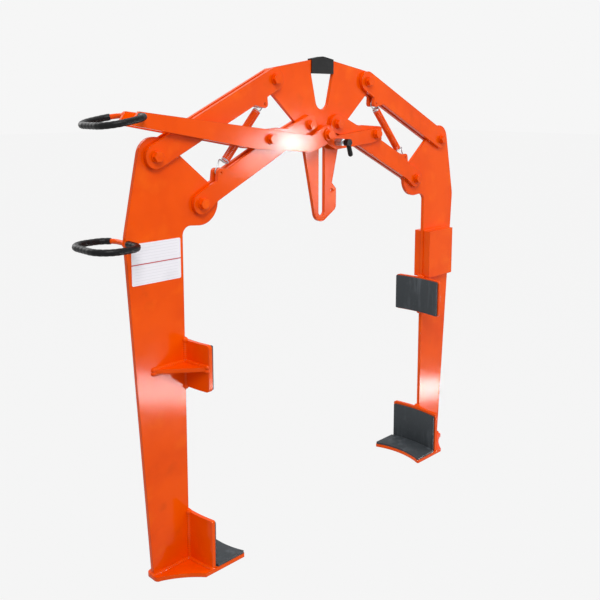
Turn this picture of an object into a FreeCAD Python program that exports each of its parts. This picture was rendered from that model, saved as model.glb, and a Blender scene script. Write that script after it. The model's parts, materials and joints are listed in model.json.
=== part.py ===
"""Lifting tongs: a hook plate, two folding arms with saddle jaws, and a toggle on a slotted tongue.

Millimetres, +Z up, X across the jaws, Y through the plates with the rear at +Y. The origin is the point of
the eye where the lifting hook bears. The tongs are drawn open, as they rest on their springs.
"""
import FreeCAD, Part
import math
import os
import re
from dataclasses import dataclass

import Sketcher

# Driving sizes in millimetres and degrees: name, value, what it measures
SIZES = (
    ("plate_thickness", 8.0, "hook plate and arm plates"),
    ("link_thickness", 8.0, "plates of the upper and lower links"),
    ("toggle_thickness", 6.0, "plates of the lever and the lock link"),
    ("side_play", 0.4, "gap between plates that turn on each other"),
    ("bolt_fit", 0.05, "radial clearance of a bolt in its hole"),
    ("bond_gap", 0.05, "gap between a glued or clamped skin and what it lies on"),
    ("upper_pivot_spread", 300.0, "between the upper link pivots on the hook plate"),
    ("lower_pivot_spread", 90.0, "between the lower link pivots on the hook plate"),
    ("pivot_drop", 97.5, "lower pivots below upper pivots"),
    ("eye_to_pivots", 15.0, "upper pivots below the bearing point of the hook"),
    ("sleeve_wall", 2.5, "wear sleeve round the bridge of the eye"),
    ("sleeve_width", 70.0, "length of the sleeve along the bridge"),
    ("bridge_height", 32.5, "bridge between the eye and the crown"),
    ("crown_radius", 30.0, "rounding of the hook plate's crown"),
    ("eye_top_width", 72.0, "width of the eye under its bridge"),
    ("eye_depth", 82.0, "height of the eye"),
    ("eye_round", 20.5, "rounding at the bottom of the eye"),
    ("plate_lobe", 24.0, "lobes round the upper pivots"),
    ("throat_half", 76.0, "centre of the hollow between fan and tongue, from the middle"),
    ("throat_drop", 114.4, "the same centre below the upper pivots"),
    ("throat_round", 12.0, "radius of that hollow"),
    ("slot_width", 20.0, "slot in the tongue"),
    ("slot_drop", 120.0, "slider bolt at rest below the upper pivots"),
    ("slot_length", 175.8, "lower end of the slot's middle line below the slider at rest"),
    ("slot_end_room", 1.5, "room left above the slider at rest"),
    ("tongue_wall", 13.0, "wall round the lower end of the slot"),
    ("lock_ear_reach", 48.5, "outer edge of the lock ear from the middle"),
    ("lock_ear_length", 41.5, "straight outer edge of the lock ear"),
    ("lock_ear_shoulder", 4.0, "upper end of that edge above the lock hole"),
    ("lock_ear_bevel", 7.0, "bevels at the ends of that edge"),
    ("lock_ear_notch", 34.5, "tongue edge from the middle where the ear starts"),
    ("link_length", 335.0, "between the pivots of each link"),
    ("link_angle", 26.0, "fall of the links at rest"),
    ("fold_range", 23.5, "turn of the links from open to the lock hole"),
    ("toggle_ratio", 1.165, "turn of lever and lock link for each degree of fold"),
    ("upper_link_round", 23.5, "half width and end rounding of an upper link"),
    ("upper_ear_along", 49.5, "upper spring pin along its link"),
    ("upper_ear_under", 33.0, "upper spring pin below its link's line"),
    ("spring_ear_round", 8.5, "ears round the spring pins"),
    ("lower_end_round", 22.0, "end rounding of a lower link"),
    ("lower_link_under", 15.5, "lower edge of a lower link below its line"),
    ("lower_link_over", 30.0, "upper edge of a lower link above its line"),
    ("lower_ear_back", 68.5, "lower spring pin along its link from the arm's pivot"),
    ("lower_ear_over", 31.0, "lower spring pin above its link's line"),
    ("lug_along", 128.0, "toggle pivot along the lower link"),
    ("lug_over", 33.0, "toggle pivot above the lower link's line"),
    ("lug_height", 25.0, "top of the lug above the toggle pivot"),
    ("lug_round", 6.0, "rounding at the top of the lug"),
    ("arm_upper_lobe", 36.5, "lobe of the arm at the upper link"),
    ("arm_lower_lobe", 44.0, "lobe of the arm at the lower link"),
    ("arm_edge", 44.0, "inner edge of the arm outside the lower link pivot"),
    ("hip_reach", 68.0, "widest point of the arm outside the upper link pivot"),
    ("hip_drop", 155.0, "widest point of the arm below that pivot"),
    ("hip_round", 80.0, "rounding of the hip"),
    ("crotch_round", 18.0, "hollow under the lower lobe"),
    ("crotch_drop", 60.0, "centre of that hollow below the lower link pivot"),
    ("arm_drop", 831.0, "shelf top below the upper link pivot"),
    ("foot_width", 88.0, "width of the arm on the shelf"),
    ("saddle_radius", 306.0, "hollow face of the saddles"),
    ("saddle_thickness", 8.0, "saddle plates"),
    ("saddle_half_width", 70.0, "half width of the saddles"),
    ("upper_saddle_height", 95.0, "height of the upper saddle"),
    ("upper_saddle_rise", 417.5, "middle of the upper saddle above the shelf"),
    ("lower_saddle_height", 102.0, "height of the lower saddle"),
    ("pad_thickness", 5.5, "rubber on the saddles"),
    ("upper_corner", 8.0, "rounded corners of the upper saddle and its rubber"),
    ("lower_corner", 3.5, "rounded corners of the lower saddle and its rubber"),
    ("pad_half_width", 66.5, "half width of the rubber"),
    ("upper_pad_margin", 2.5, "rubber below the edges of the upper saddle"),
    ("lower_pad_margin", 6.0, "rubber below the top of the lower saddle"),
    ("gusset_thickness", 8.0, "gussets behind the upper saddle"),
    ("gusset_reach", 78.0, "gusset along the arm"),
    ("gusset_half_width", 68.0, "gusset tip from the middle"),
    ("shelf_thickness", 8.0, "foot shelf"),
    ("shelf_reach", 92.0, "shelf corners inside the arm's inner edge"),
    ("shelf_half_width", 72.0, "half width of the shelf"),
    ("shelf_hollow", 170.0, "radius of the shelf's inner edge"),
    ("shelf_shoulder", 10.0, "outer shelf corners outside the arm's inner edge"),
    ("shelf_corner", 3.5, "rounded tips of the shelf and its rubber"),
    ("tail_length", 90.0, "tail of the shelf outside the arm's inner edge"),
    ("tail_half_width", 19.0, "half width of the tail"),
    ("tail_corner", 9.0, "rounded end of the tail"),
    ("shelf_flank", 200.0, "radius of the shelf's hollow flanks"),
    ("shelf_pad_thickness", 5.0, "rubber on the shelf"),
    ("shelf_pad_margin", 0.8, "rubber inside the edges of the shelf"),
    ("block_width", 104.0, "counterweight blocks"),
    ("block_height", 125.0, "counterweight blocks"),
    ("block_thickness", 20.0, "counterweight blocks"),
    ("block_round", 2.0, "corners of the counterweight blocks"),
    ("block_inset", 3.0, "blocks outside the arm's inner edge"),
    ("block_drop", 241.0, "top of the blocks below the upper link pivot"),
    ("loop_length", 87.0, "loop handles from their stubs to the cross bar"),
    ("loop_half_width", 58.0, "legs of the loop handles from the middle plane"),
    ("loop_inner_bend", 31.5, "bends between stubs and legs"),
    ("loop_outer_bend", 38.5, "bends between legs and cross bar"),
    ("loop_bar", 10.0, "round bar of the loop handles"),
    ("grip_diameter", 13.0, "grips on the loop handles"),
    ("arm_loop_inset", 5.5, "stubs of the arm's handle inside the arm's widest point"),
    ("arm_loop_drop", 157.5, "stubs of the arm's handle below the upper link pivot"),
    ("lever_loop_along", 318.5, "stubs of the lever's handle from the lever's pivot"),
    ("lever_loop_rise", 52.7, "stubs of the lever's handle above the lever's pivot"),
    ("lever_loop_tilt", 10.5, "fall of the lever's handle towards its cross bar"),
    ("toggle_slack", 2.81, "lever and lock link shorter than their pivots stand from the middle"),
    ("toggle_tilt", 1.72, "rise of lever and lock link towards the slider at rest"),
    ("slider_eye", 19.0, "wide hole in lever and lock link for the slider bolt"),
    ("lever_boss", 20.5, "lever round the slider"),
    ("lever_neck_back", 47.5, "neck of the lever from the slider"),
    ("lever_neck_rise", 3.5, "neck of the lever above its pivot"),
    ("lever_tip_along", 320.5, "upper corner of the lever's end from its pivot"),
    ("lever_tip_rise", 61.0, "upper corner of the lever's end above its pivot"),
    ("lever_end_along", 337.0, "lower corner of the lever's end from its pivot"),
    ("lever_end_rise", 36.5, "lower corner of the lever's end above its pivot"),
    ("lever_belly_along", 40.5, "bend of the lever's lower edge from its pivot"),
    ("lever_belly_fall", 19.0, "bend of the lever's lower edge below its pivot"),
    ("lever_chin_back", 48.5, "rounded chin of the lever from the slider"),
    ("lever_chin_fall", 17.0, "centre of the chin below the lever's pivot"),
    ("lever_chin_round", 16.0, "rounding of the chin"),
    ("lock_boss", 20.0, "lock link round the slider"),
    ("lock_neck_back", 32.2, "neck of the lock link from the slider"),
    ("lock_end_reach", 19.5, "lock link past its pivot"),
    ("lock_end_over", 16.0, "lock link above its pivot"),
    ("lock_end_under", 14.0, "lock link's end below its pivot"),
    ("lock_belly_along", 16.0, "bend of the lock link's lower edge from its pivot"),
    ("lock_belly_fall", 21.3, "bend of the lock link's lower edge below its pivot"),
    ("plunger_back", 31.2, "plunger from the slider"),
    ("plunger_fall", 14.0, "plunger below the lock link's pivot"),
    ("plunger_lobe", 17.0, "lock link round the plunger"),
    ("plunger_diameter", 9.0, "plunger pin"),
    ("plunger_stroke", 8.0, "travel of the plunger"),
    ("plunger_fit", 0.3, "radial room of the pin in a lock hole"),
    ("plunger_gap", 0.6, "retracted pin behind the end of its sleeve, and handle before it"),
    ("sleeve_diameter", 16.0, "plunger sleeve"),
    ("sleeve_front", 38.0, "front end of the plunger sleeve from the middle plane"),
    ("knob_diameter", 16.0, "hub of the plunger handle"),
    ("knob_length", 12.0, "hub of the plunger handle"),
    ("knob_arm_length", 28.0, "arm of the plunger handle"),
    ("knob_arm_round", 5.0, "arm of the plunger handle at its hub"),
    ("knob_tip_round", 5.6, "ball end of that arm"),
    ("knob_lean", 18.0, "lean of that arm from upright"),
    ("bolt_diameter", 12.0, "pivot bolts"),
    ("bolt_flats", 19.0, "width across flats of heads and nuts"),
    ("bolt_head", 7.5, "height of a bolt head"),
    ("nut_height", 10.0, "height of a nut"),
    ("thread_end", 3.0, "bolt past its nut"),
    ("washer_diameter", 24.0, "washers of the pivot bolts"),
    ("washer_thickness", 2.5, "all washers"),
    ("slider_washer", 30.0, "washers and spacers of the slider"),
    ("bush_play", 0.3, "gap between the slider bush and the slot"),
    ("spring_pin", 6.0, "rolled pins that hold the springs"),
    ("spring_pin_bore", 3.6, "bore of those pins"),
    ("coil_radius", 7.6, "mean radius of the springs"),
    ("coil_wire", 2.8, "wire of the springs"),
    ("coil_turns", 38, "turns of each spring"),
    ("upper_hook_reach", 15.0, "from the upper loop's centre to the coil"),
    ("lower_hook_reach", 25.0, "from the lower loop's centre to the coil"),
    ("hook_seat", 0.3, "gap between an upper hook's loop and its pin, and between coil and lower hook"),
    ("lower_hook_seat", 0.8, "gap between a lower hook's loop and its pin"),
)
ALIASES = {name for name, _, _ in SIZES}

# Places that several pieces share, as expressions of the sizes; X is given for the right side
UPPER_X = "upper_pivot_spread / 2"
UPPER_Z = "-eye_to_pivots"
LOWER_X = "lower_pivot_spread / 2"
LOWER_Z = "-(eye_to_pivots + pivot_drop)"
SLIDER_Z = "-(eye_to_pivots + slot_drop)"
SLOT_BOTTOM = f"{SLIDER_Z} - slot_length"
CROWN_Z = "(sleeve_wall + bridge_height - crown_radius)"
LINK_BACK = "(plate_thickness / 2 + side_play)"
LINK_FRONT = f"({LINK_BACK} + link_thickness)"
LOCK_BACK = f"({LINK_FRONT} + side_play)"
LOCK_FRONT = f"({LOCK_BACK} + toggle_thickness)"
LEVER_BACK = f"({LOCK_FRONT} + side_play)"
LEVER_FRONT = f"({LEVER_BACK} + toggle_thickness)"

DOC = FreeCAD.newDocument("LiftingTongs")
SHEET = DOC.addObject("Spreadsheet::Sheet", "Sizes")
PIECES = []


@dataclass(frozen=True)
class Corner:
    """A sharp corner of an outline; arc is the radius of the edge that leaves it, negative where hollow."""

    x: str
    y: str
    arc: str = ""


@dataclass(frozen=True)
class Lobe:
    """A round of an outline, given by its centre; straight edges touch it tangentially."""

    x: str
    y: str
    radius: str
    hollow: bool = False


def fill_sheet():
    """Write every driving size into the sheet with its alias."""
    for row, (name, value, meaning) in enumerate(SIZES, start=1):
        SHEET.set(f"A{row}", meaning)
        SHEET.set(f"B{row}", str(value))
        SHEET.setAlias(f"B{row}", name)
    DOC.recompute()


def bound(expression):
    """Name the sheet before every size in an expression."""
    def qualify(match):
        word = match.group()
        return f"Sizes.{word}" if word in ALIASES else word
    return re.sub(r"[a-z][a-z_]*[a-z]", qualify, str(expression))


def number(expression):
    """Value of an expression at the present sizes."""
    value = SHEET.evalExpression(bound(expression))
    return float(getattr(value, "Value", value))


def bind(item, prop, expression):
    """Tie a property of a document object to an expression of the sizes."""
    item.setExpression(prop, bound(expression))


def piece(item, label):
    """Keep an object as a finished piece under its own label."""
    item.Label = label
    PIECES.append(item)
    return item


def mirrored(nodes, side):
    """Outline nodes of the right side, or the same outline on the left."""
    if side > 0:
        return list(nodes)
    turned = []
    for index in range(len(nodes) - 1, -1, -1):
        node = nodes[index]
        if isinstance(node, Lobe):
            turned.append(Lobe(f"-({node.x})", node.y, node.radius, node.hollow))
        else:
            turned.append(Corner(f"-({node.x})", node.y, getattr(nodes[index - 1], "arc", "")))
    return turned


def on_link(along, over, x0, z0):
    """X and Z of a point given along and above the line of a right-hand link at rest."""
    x = f"{x0} + ({along}) * cos(link_angle) + ({over}) * sin(link_angle)"
    z = f"{z0} - ({along}) * sin(link_angle) + ({over}) * cos(link_angle)"
    return x, z


LUG = on_link("lug_along", "lug_over", LOWER_X, LOWER_Z)
OUTER_UPPER = on_link("link_length", "0", UPPER_X, UPPER_Z)
OUTER_LOWER = on_link("link_length", "0", LOWER_X, LOWER_Z)
UPPER_EAR = on_link("upper_ear_along", "-upper_ear_under", UPPER_X, UPPER_Z)
LOWER_EAR_ALONG = "(link_length - lower_ear_back)"
LOWER_EAR = on_link(LOWER_EAR_ALONG, "lower_ear_over", LOWER_X, LOWER_Z)
ARM_EDGE_X = f"{OUTER_LOWER[0]} + arm_edge"
SHELF_Z = f"{OUTER_UPPER[1]} - arm_drop"
TOGGLE_LENGTH = f"({LUG[0]} - toggle_slack)"
PLUNGER_ALONG = f"({TOGGLE_LENGTH} - plunger_back)"
PLUNGER = (f"{LUG[0]} - {PLUNGER_ALONG}", f"{LUG[1]} - plunger_fall")
BOLT_HOLE = "bolt_diameter / 2 + bolt_fit"


def plunger_at(fold):
    """X and Z of the plunger when the links have turned by a fold angle."""
    link = f"(link_angle + {fold})"
    turn = f"(toggle_ratio * {fold})"
    x = (f"{LOWER_X} + lug_along * cos{link} + lug_over * sin{link}"
         f" - {PLUNGER_ALONG} * cos{turn} + plunger_fall * sin{turn}")
    z = (f"{LOWER_Z} - lug_along * sin{link} + lug_over * cos{link}"
         f" - {PLUNGER_ALONG} * sin{turn} - plunger_fall * cos{turn}")
    return x, z


def touching_line(start, start_radius, end, end_radius):
    """Ends of the straight edge that touches two rounds; a radius is negative for a hollow one."""
    across = end[0] - start[0]
    rise = end[1] - start[1]
    heading = math.atan2(rise, across) - math.asin((end_radius - start_radius) / math.hypot(across, rise))
    left = (-math.sin(heading), math.cos(heading))
    first = (start[0] - left[0] * start_radius, start[1] - left[1] * start_radius)
    last = (end[0] - left[0] * end_radius, end[1] - left[1] * end_radius)
    return first, last


def flat(point):
    """Sketch vector of a pair of numbers."""
    return FreeCAD.Vector(point[0], point[1], 0)


def sketch_arc(centre, radius, first, last):
    """Counter-clockwise arc geometry between two points."""
    circle = Part.Circle(flat(centre), FreeCAD.Vector(0, 0, 1), radius)
    start = math.atan2(first[1] - centre[1], first[0] - centre[0])
    end = math.atan2(last[1] - centre[1], last[0] - centre[0])
    if end <= start:
        end += 2 * math.pi
    return Part.ArcOfCircle(circle, start, end)


def bulged_edge(first, last, radius):
    """Arc geometry of an edge between two corners, with the positions of its first and last point."""
    half = math.dist(first, last) / 2
    middle = ((first[0] + last[0]) / 2, (first[1] + last[1]) / 2)
    left = (-(last[1] - first[1]) / (2 * half), (last[0] - first[0]) / (2 * half))
    reach = math.copysign(math.sqrt(radius * radius - half * half), radius)
    centre = (middle[0] + left[0] * reach, middle[1] + left[1] * reach)
    if radius > 0:
        return sketch_arc(centre, radius, first, last), 1, 2
    return sketch_arc(centre, -radius, last, first), 2, 1


def pin_point(ties, geometry, position, x, y):
    """Tie a sketch point to its X and Y expressions, or to an axis where one is zero."""
    for kind, axis, expression in (("DistanceX", -2, x), ("DistanceY", -1, y)):
        if expression == "0":
            ties.append((Sketcher.Constraint("PointOnObject", geometry, position, axis), None))
        else:
            tie = Sketcher.Constraint(kind, -1, 1, geometry, position, number(expression))
            ties.append((tie, expression))


def draw_outline(sketch, nodes):
    """Draw one closed outline, counter-clockwise, through corners and rounds, and tie it to the sizes."""
    count = len(nodes)
    centres = [(number(node.x), number(node.y)) for node in nodes]
    radii = []
    for node in nodes:
        radius = number(node.radius) if isinstance(node, Lobe) else 0.0
        radii.append(-radius if isinstance(node, Lobe) and node.hollow else radius)
    lines = []
    edges = []
    ties = []
    first_edge = sketch.GeometryCount
    for index, node in enumerate(nodes):
        after = (index + 1) % count
        ends = touching_line(centres[index], radii[index], centres[after], radii[after])
        lines.append(ends)
        arc = getattr(node, "arc", "")
        if arc:
            geometry, head, tail = bulged_edge(*ends, number(arc))
            radius = arc.lstrip("-")
            ties.append((Sketcher.Constraint("Radius", first_edge + index, number(radius)), radius))
        else:
            geometry, head, tail = Part.LineSegment(flat(ends[0]), flat(ends[1])), 1, 2
        sketch.addGeometry(geometry)
        edges.append((first_edge + index, head, tail))
    for index, node in enumerate(nodes):
        before = edges[index - 1]
        edge = edges[index]
        if isinstance(node, Corner):
            ties.append((Sketcher.Constraint("Coincident", before[0], before[2], edge[0], edge[1]), None))
            pin_point(ties, edge[0], edge[1], node.x, node.y)
            continue
        arriving = lines[index - 1][1]
        leaving = lines[index][0]
        first, last = (leaving, arriving) if node.hollow else (arriving, leaving)
        joins = (2, 1) if node.hollow else (1, 2)
        round_edge = sketch.addGeometry(sketch_arc(centres[index], abs(radii[index]), first, last))
        ties.append((Sketcher.Constraint("Tangent", before[0], before[2], round_edge, joins[0]), None))
        ties.append((Sketcher.Constraint("Tangent", round_edge, joins[1], edge[0], edge[1]), None))
        pin_point(ties, round_edge, 3, node.x, node.y)
        ties.append((Sketcher.Constraint("Radius", round_edge, abs(radii[index])), node.radius))
    apply_ties(sketch, ties)


def draw_hole(sketch, x, y, radius):
    """Draw a round hole tied to the sizes."""
    circle = Part.Circle(flat((number(x), number(y))), FreeCAD.Vector(0, 0, 1), number(radius))
    geometry = sketch.addGeometry(circle)
    ties = [(Sketcher.Constraint("Radius", geometry, number(radius)), radius)]
    pin_point(ties, geometry, 3, x, y)
    apply_ties(sketch, ties)


def apply_ties(sketch, ties):
    """Add constraints to a sketch and bind the dimensional ones to their expressions."""
    indexes = sketch.addConstraint([tie for tie, _ in ties])
    for index, (_, expression) in zip(indexes, ties):
        if expression is not None:
            sketch.renameConstraint(index, f"size_{index}")
            sketch.setExpression(f"Constraints.size_{index}", bound(expression))


GROWTH_AXIS = {"XY_Plane": "z", "XZ_Plane": "y", "YZ_Plane": "x"}


def plate(label, role, outlines, holes, thickness, shift):
    """Pad a sketch: XZ plates grow towards -Y from their rear face, XY plates up, YZ plates towards +X."""
    body = DOC.addObject("PartDesign::Body", label)
    sketch = body.newObject("Sketcher::SketchObject", f"{label}_outline")
    plane = next(item for item in body.Origin.OriginFeatures if item.Role == role)
    sketch.AttachmentSupport = [(plane, "")]
    sketch.MapMode = "FlatFace"
    for nodes in outlines:
        draw_outline(sketch, nodes)
    for hole in holes:
        draw_hole(sketch, *hole)
    pad = body.newObject("PartDesign::Pad", f"{label}_extrusion")
    pad.Profile = sketch
    bind(pad, "Length", thickness)
    bind(body, f"Placement.Base.{GROWTH_AXIS[role]}", shift)
    return body


def upright_plate(label, outlines, holes, thickness, rear_face):
    """A finished plate that lies across Y."""
    return piece(plate(label, "XZ_Plane", outlines, holes, thickness, rear_face), label)


def plate_pair(label, outline, holes, thickness, inner):
    """Front and rear plates of one outline, at equal distances from the middle plane."""
    upright_plate(f"{label}_front", [outline], holes, thickness, f"-({inner})")
    upright_plate(f"{label}_rear", [outline], holes, thickness, f"{inner} + {thickness}")


FACING_FRONT = FreeCAD.Rotation(FreeCAD.Vector(1, 0, 0), 90)


def place(item, x, y, z, rotation=FreeCAD.Rotation()):
    """Turn an object and tie its position to expressions."""
    item.Placement = FreeCAD.Placement(FreeCAD.Vector(), rotation)
    for axis, expression in (("x", x), ("y", y), ("z", z)):
        bind(item, f"Placement.Base.{axis}", expression)
    return item


def solid(kind, x, y, z, rotation=FreeCAD.Rotation(), **sizes):
    """A Part primitive with its sizes and place tied to expressions."""
    item = DOC.addObject(f"Part::{kind}", kind)
    for name, expression in sizes.items():
        bind(item, name, expression)
    return place(item, x, y, z, rotation)


def combine(kind, base, tool):
    """Part boolean of two objects."""
    item = DOC.addObject(f"Part::{kind}", kind)
    item.Base = base
    item.Tool = tool
    return item


def fused(items):
    """One Part solid of several objects that touch."""
    item = DOC.addObject("Part::MultiFuse", "Fusion")
    item.Shapes = items
    return item


def group(label, items):
    """Finished group of separate solids that share one label."""
    item = DOC.addObject("Part::Compound", label)
    item.Links = items
    return piece(item, label)


def rod(x, rear, z, radius, length):
    """Round bar from its rear end towards -Y."""
    return solid("Cylinder", x, rear, z, FACING_FRONT, Radius=radius, Height=length)


def ring(x, rear, z, outer, inner, length):
    """Round ring from its rear face towards -Y."""
    return combine("Cut", rod(x, rear, z, outer, length), rod(x, rear, z, inner, length))


def hexagon(x, rear, z, height):
    """Hexagon of a bolt head or nut with its outer corners taken off, from its rear face towards -Y."""
    prism = solid("Prism", x, rear, z, FACING_FRONT, Circumradius="bolt_flats / 2 / cos(30)", Height=height)
    prism.Polygon = 6
    cone = solid("Cone", x, rear, z, FACING_FRONT, Radius1=f"bolt_flats / 2 + {height} / tan(30)",
                 Radius2="bolt_flats / 2", Height=height)
    return combine("Common", prism, cone)


def bolt(x, z, reach):
    """Hexagon bolt whose head and nut bear at an equal distance from the middle plane."""
    tail = f"{reach} + nut_height + thread_end"
    shank = rod(x, tail, z, "bolt_diameter / 2", f"{reach} + {tail}")
    return combine("Fuse", shank, hexagon(x, f"-({reach})", z, "bolt_head"))


def nut(x, z, reach):
    """Hexagon nut behind the stack."""
    rear = f"{reach} + nut_height"
    return combine("Cut", hexagon(x, rear, z, "nut_height"), rod(x, rear, z, BOLT_HOLE, "nut_height"))


def washers(x, z, face, diameter):
    """Front and rear washer, a side play away from the plates that turn under them."""
    inner = f"({face} + side_play)"
    rears = (f"-{inner}", f"{inner} + washer_thickness")
    return [ring(x, rear, z, f"{diameter} / 2", BOLT_HOLE, "washer_thickness") for rear in rears]


def fasteners(label, points, face, diameter="washer_diameter", extras=()):
    """Bolts as one piece group, nuts and washers as another, through a stack of a given half depth."""
    reach = f"({face} + side_play + washer_thickness)"
    bolts = [bolt(x, z, reach) for x, z in points]
    locks = list(extras)
    for x, z in points:
        locks.append(nut(x, z, reach))
        locks.extend(washers(x, z, face, diameter))
    if len(bolts) == 1:
        piece(bolts[0], f"{label}_bolt")
    else:
        group(f"{label}_bolts", bolts)
    group(f"{label}_nuts_washers", locks)


def at_side(point, side):
    """A right-hand point, or its mirror image on the left."""
    return (point[0] if side > 0 else f"-({point[0]})"), point[1]


def build_hook_plate():
    """Plate with the hook eye, the fan to the upper pivots and the slotted tongue with its lock ear."""
    ear_top = f"{plunger_at('fold_range')[1]} + lock_ear_shoulder"
    ear_bottom = f"{ear_top} - lock_ear_length"
    throat_z = "-(eye_to_pivots + throat_drop)"
    outer = [
        Lobe("0", SLOT_BOTTOM, "slot_width / 2 + tongue_wall"),
        Corner("lock_ear_reach - lock_ear_bevel / 2", f"{ear_bottom} - lock_ear_bevel"),
        Corner("lock_ear_reach", ear_bottom),
        Corner("lock_ear_reach", ear_top),
        Corner("lock_ear_reach - lock_ear_bevel", f"{ear_top} + lock_ear_bevel"),
        Corner("lock_ear_notch", f"{ear_top} + 2 * lock_ear_bevel"),
        Lobe("throat_half", throat_z, "throat_round", hollow=True),
        Lobe(UPPER_X, UPPER_Z, "plate_lobe"),
        Lobe("0", CROWN_Z, "crown_radius"),
        Lobe(f"-{UPPER_X}", UPPER_Z, "plate_lobe"),
        Lobe("-throat_half", throat_z, "throat_round", hollow=True),
    ]
    eye = [
        Lobe("0", "sleeve_wall - eye_depth + eye_round", "eye_round"),
        Corner("eye_top_width / 2", "sleeve_wall"),
        Corner("-eye_top_width / 2", "sleeve_wall"),
    ]
    slot = [
        Lobe("0", SLOT_BOTTOM, "slot_width / 2"),
        Lobe("0", f"{SLIDER_Z} + slot_end_room", "slot_width / 2"),
    ]
    holes = []
    for side in (-1, 1):
        holes.append((*at_side((UPPER_X, UPPER_Z), side), BOLT_HOLE))
        holes.append((*at_side((LOWER_X, LOWER_Z), side), BOLT_HOLE))
    for fold in ("0", "fold_range"):
        holes.append((*plunger_at(fold), "plunger_diameter / 2 + plunger_fit"))
    upright_plate("suspension_plate", [outer, eye, slot], holes, "plate_thickness", "plate_thickness / 2")
    points = [at_side((UPPER_X, UPPER_Z), side) for side in (-1, 1)]
    points += [at_side((LOWER_X, LOWER_Z), side) for side in (-1, 1)]
    fasteners("plate_pivot", points, LINK_FRONT)


def crown_edge(x):
    """Height of the hook plate's sloping top edge at a distance from the middle."""
    fall = f"({CROWN_Z} - {UPPER_Z})"
    lean = (f"(atan({fall} / ({UPPER_X}))"
            f" + asin((crown_radius - plate_lobe) / sqrt(({UPPER_X})^2 + {fall}^2)))")
    return f"{CROWN_Z} + (crown_radius - ({x}) * sin{lean}) / cos{lean}"


def build_eye_sleeve():
    """Wear sleeve of bent sheet round the bridge over the eye, open at both ends."""
    def wrap(half, bottom, growth):
        top = f"{crown_edge(half)} + {growth}"
        return [
            Corner(f"-({half})", bottom),
            Corner(half, bottom),
            Corner(half, top),
            Lobe("0", CROWN_Z, f"crown_radius + {growth}"),
            Corner(f"-({half})", top),
        ]
    inner_depth = "plate_thickness + 2 * bond_gap"
    outer_depth = f"({inner_depth} + 2 * sleeve_wall)"
    skin = wrap("sleeve_width / 2", "0", "bond_gap + sleeve_wall")
    core = wrap("sleeve_width", "sleeve_wall - bond_gap", "bond_gap")
    outside = plate("sleeve_outside", "XZ_Plane", [skin], [], outer_depth, f"{outer_depth} / 2")
    inside = plate("sleeve_inside", "XZ_Plane", [core], [], inner_depth, f"({inner_depth}) / 2")
    piece(combine("Cut", outside, inside), "eye_sleeve")


def build_upper_links():
    """Upper links, a front and a rear plate on each side, with the spring pin through their ears."""
    ear_start = on_link("upper_ear_along - 1.5 * spring_ear_round", "-upper_link_round", UPPER_X, UPPER_Z)
    ear_end = on_link("upper_ear_along + 3 * spring_ear_round", "-upper_link_round", UPPER_X, UPPER_Z)
    outline = [
        Lobe(UPPER_X, UPPER_Z, "upper_link_round"),
        Corner(*ear_start),
        Lobe(*UPPER_EAR, "spring_ear_round"),
        Corner(*ear_end),
        Lobe(*OUTER_UPPER, "upper_link_round"),
    ]
    for side, name in ((-1, "left"), (1, "right")):
        holes = [(*at_side((UPPER_X, UPPER_Z), side), BOLT_HOLE)]
        holes.append((*at_side(OUTER_UPPER, side), BOLT_HOLE))
        holes.append((*at_side(UPPER_EAR, side), "spring_pin / 2 + bond_gap"))
        plate_pair(f"{name}_upper_link", mirrored(outline, side), holes, "link_thickness", LINK_BACK)
        build_spring_pin(f"{name}_upper_spring_pin", *at_side(UPPER_EAR, side))


def build_spring_pin(label, x, z):
    """Rolled pin across the two plates of a link, flush with their faces."""
    piece(ring(x, LINK_FRONT, z, "spring_pin / 2", "spring_pin_bore / 2", f"2 * {LINK_FRONT}"), label)


def build_lower_links():
    """Lower links with the lug of the toggle and the ear of the spring, and the toggle's pivot bolts."""
    def corner(along, over):
        return Corner(*on_link(along, over, LOWER_X, LOWER_Z))
    outline = [
        Lobe(LOWER_X, LOWER_Z, "lower_end_round"),
        corner("1.7 * lower_end_round", "-lower_link_under"),
        corner("link_length - 1.7 * lower_end_round", "-lower_link_under"),
        Lobe(*OUTER_LOWER, "lower_end_round"),
        corner(f"{LOWER_EAR_ALONG} + 4 * spring_ear_round", "lower_ear_over - spring_ear_round"),
        corner(f"{LOWER_EAR_ALONG} + 2 * spring_ear_round", "lower_ear_over - 1.2 * spring_ear_round"),
        Lobe(*LOWER_EAR, "spring_ear_round"),
        corner(f"{LOWER_EAR_ALONG} - 2.4 * spring_ear_round", "lower_link_over"),
        corner("lug_along + 1.25 * lug_height", "lower_link_over"),
        Lobe(*on_link("lug_along + lug_height / 2", "lug_over + lug_height - lug_round", LOWER_X, LOWER_Z),
             "lug_round"),
        corner("lug_along - 2 * lug_height", "lug_over"),
        corner("lug_along - 2.5 * lug_height", "lug_over - 0.3 * lug_height"),
    ]
    for side, name in ((-1, "left"), (1, "right")):
        holes = [(*at_side((LOWER_X, LOWER_Z), side), BOLT_HOLE)]
        holes.append((*at_side(OUTER_LOWER, side), BOLT_HOLE))
        holes.append((*at_side(LUG, side), BOLT_HOLE))
        holes.append((*at_side(LOWER_EAR, side), "spring_pin / 2 + bond_gap"))
        plate_pair(f"{name}_lower_link", mirrored(outline, side), holes, "link_thickness", LINK_BACK)
        build_spring_pin(f"{name}_lower_spring_pin", *at_side(LOWER_EAR, side))
    x, z = at_side(LUG, -1)
    length = "toggle_thickness"
    spacers = [ring(x, f"-{LINK_FRONT}", z, "washer_diameter / 2", BOLT_HOLE, length)]
    spacers.append(ring(x, f"{LINK_FRONT} + {length}", z, "washer_diameter / 2", BOLT_HOLE, length))
    fasteners("lever_pivot", [(x, z)], LEVER_FRONT, extras=spacers)
    fasteners("lock_pivot", [LUG], LOCK_FRONT)


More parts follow.
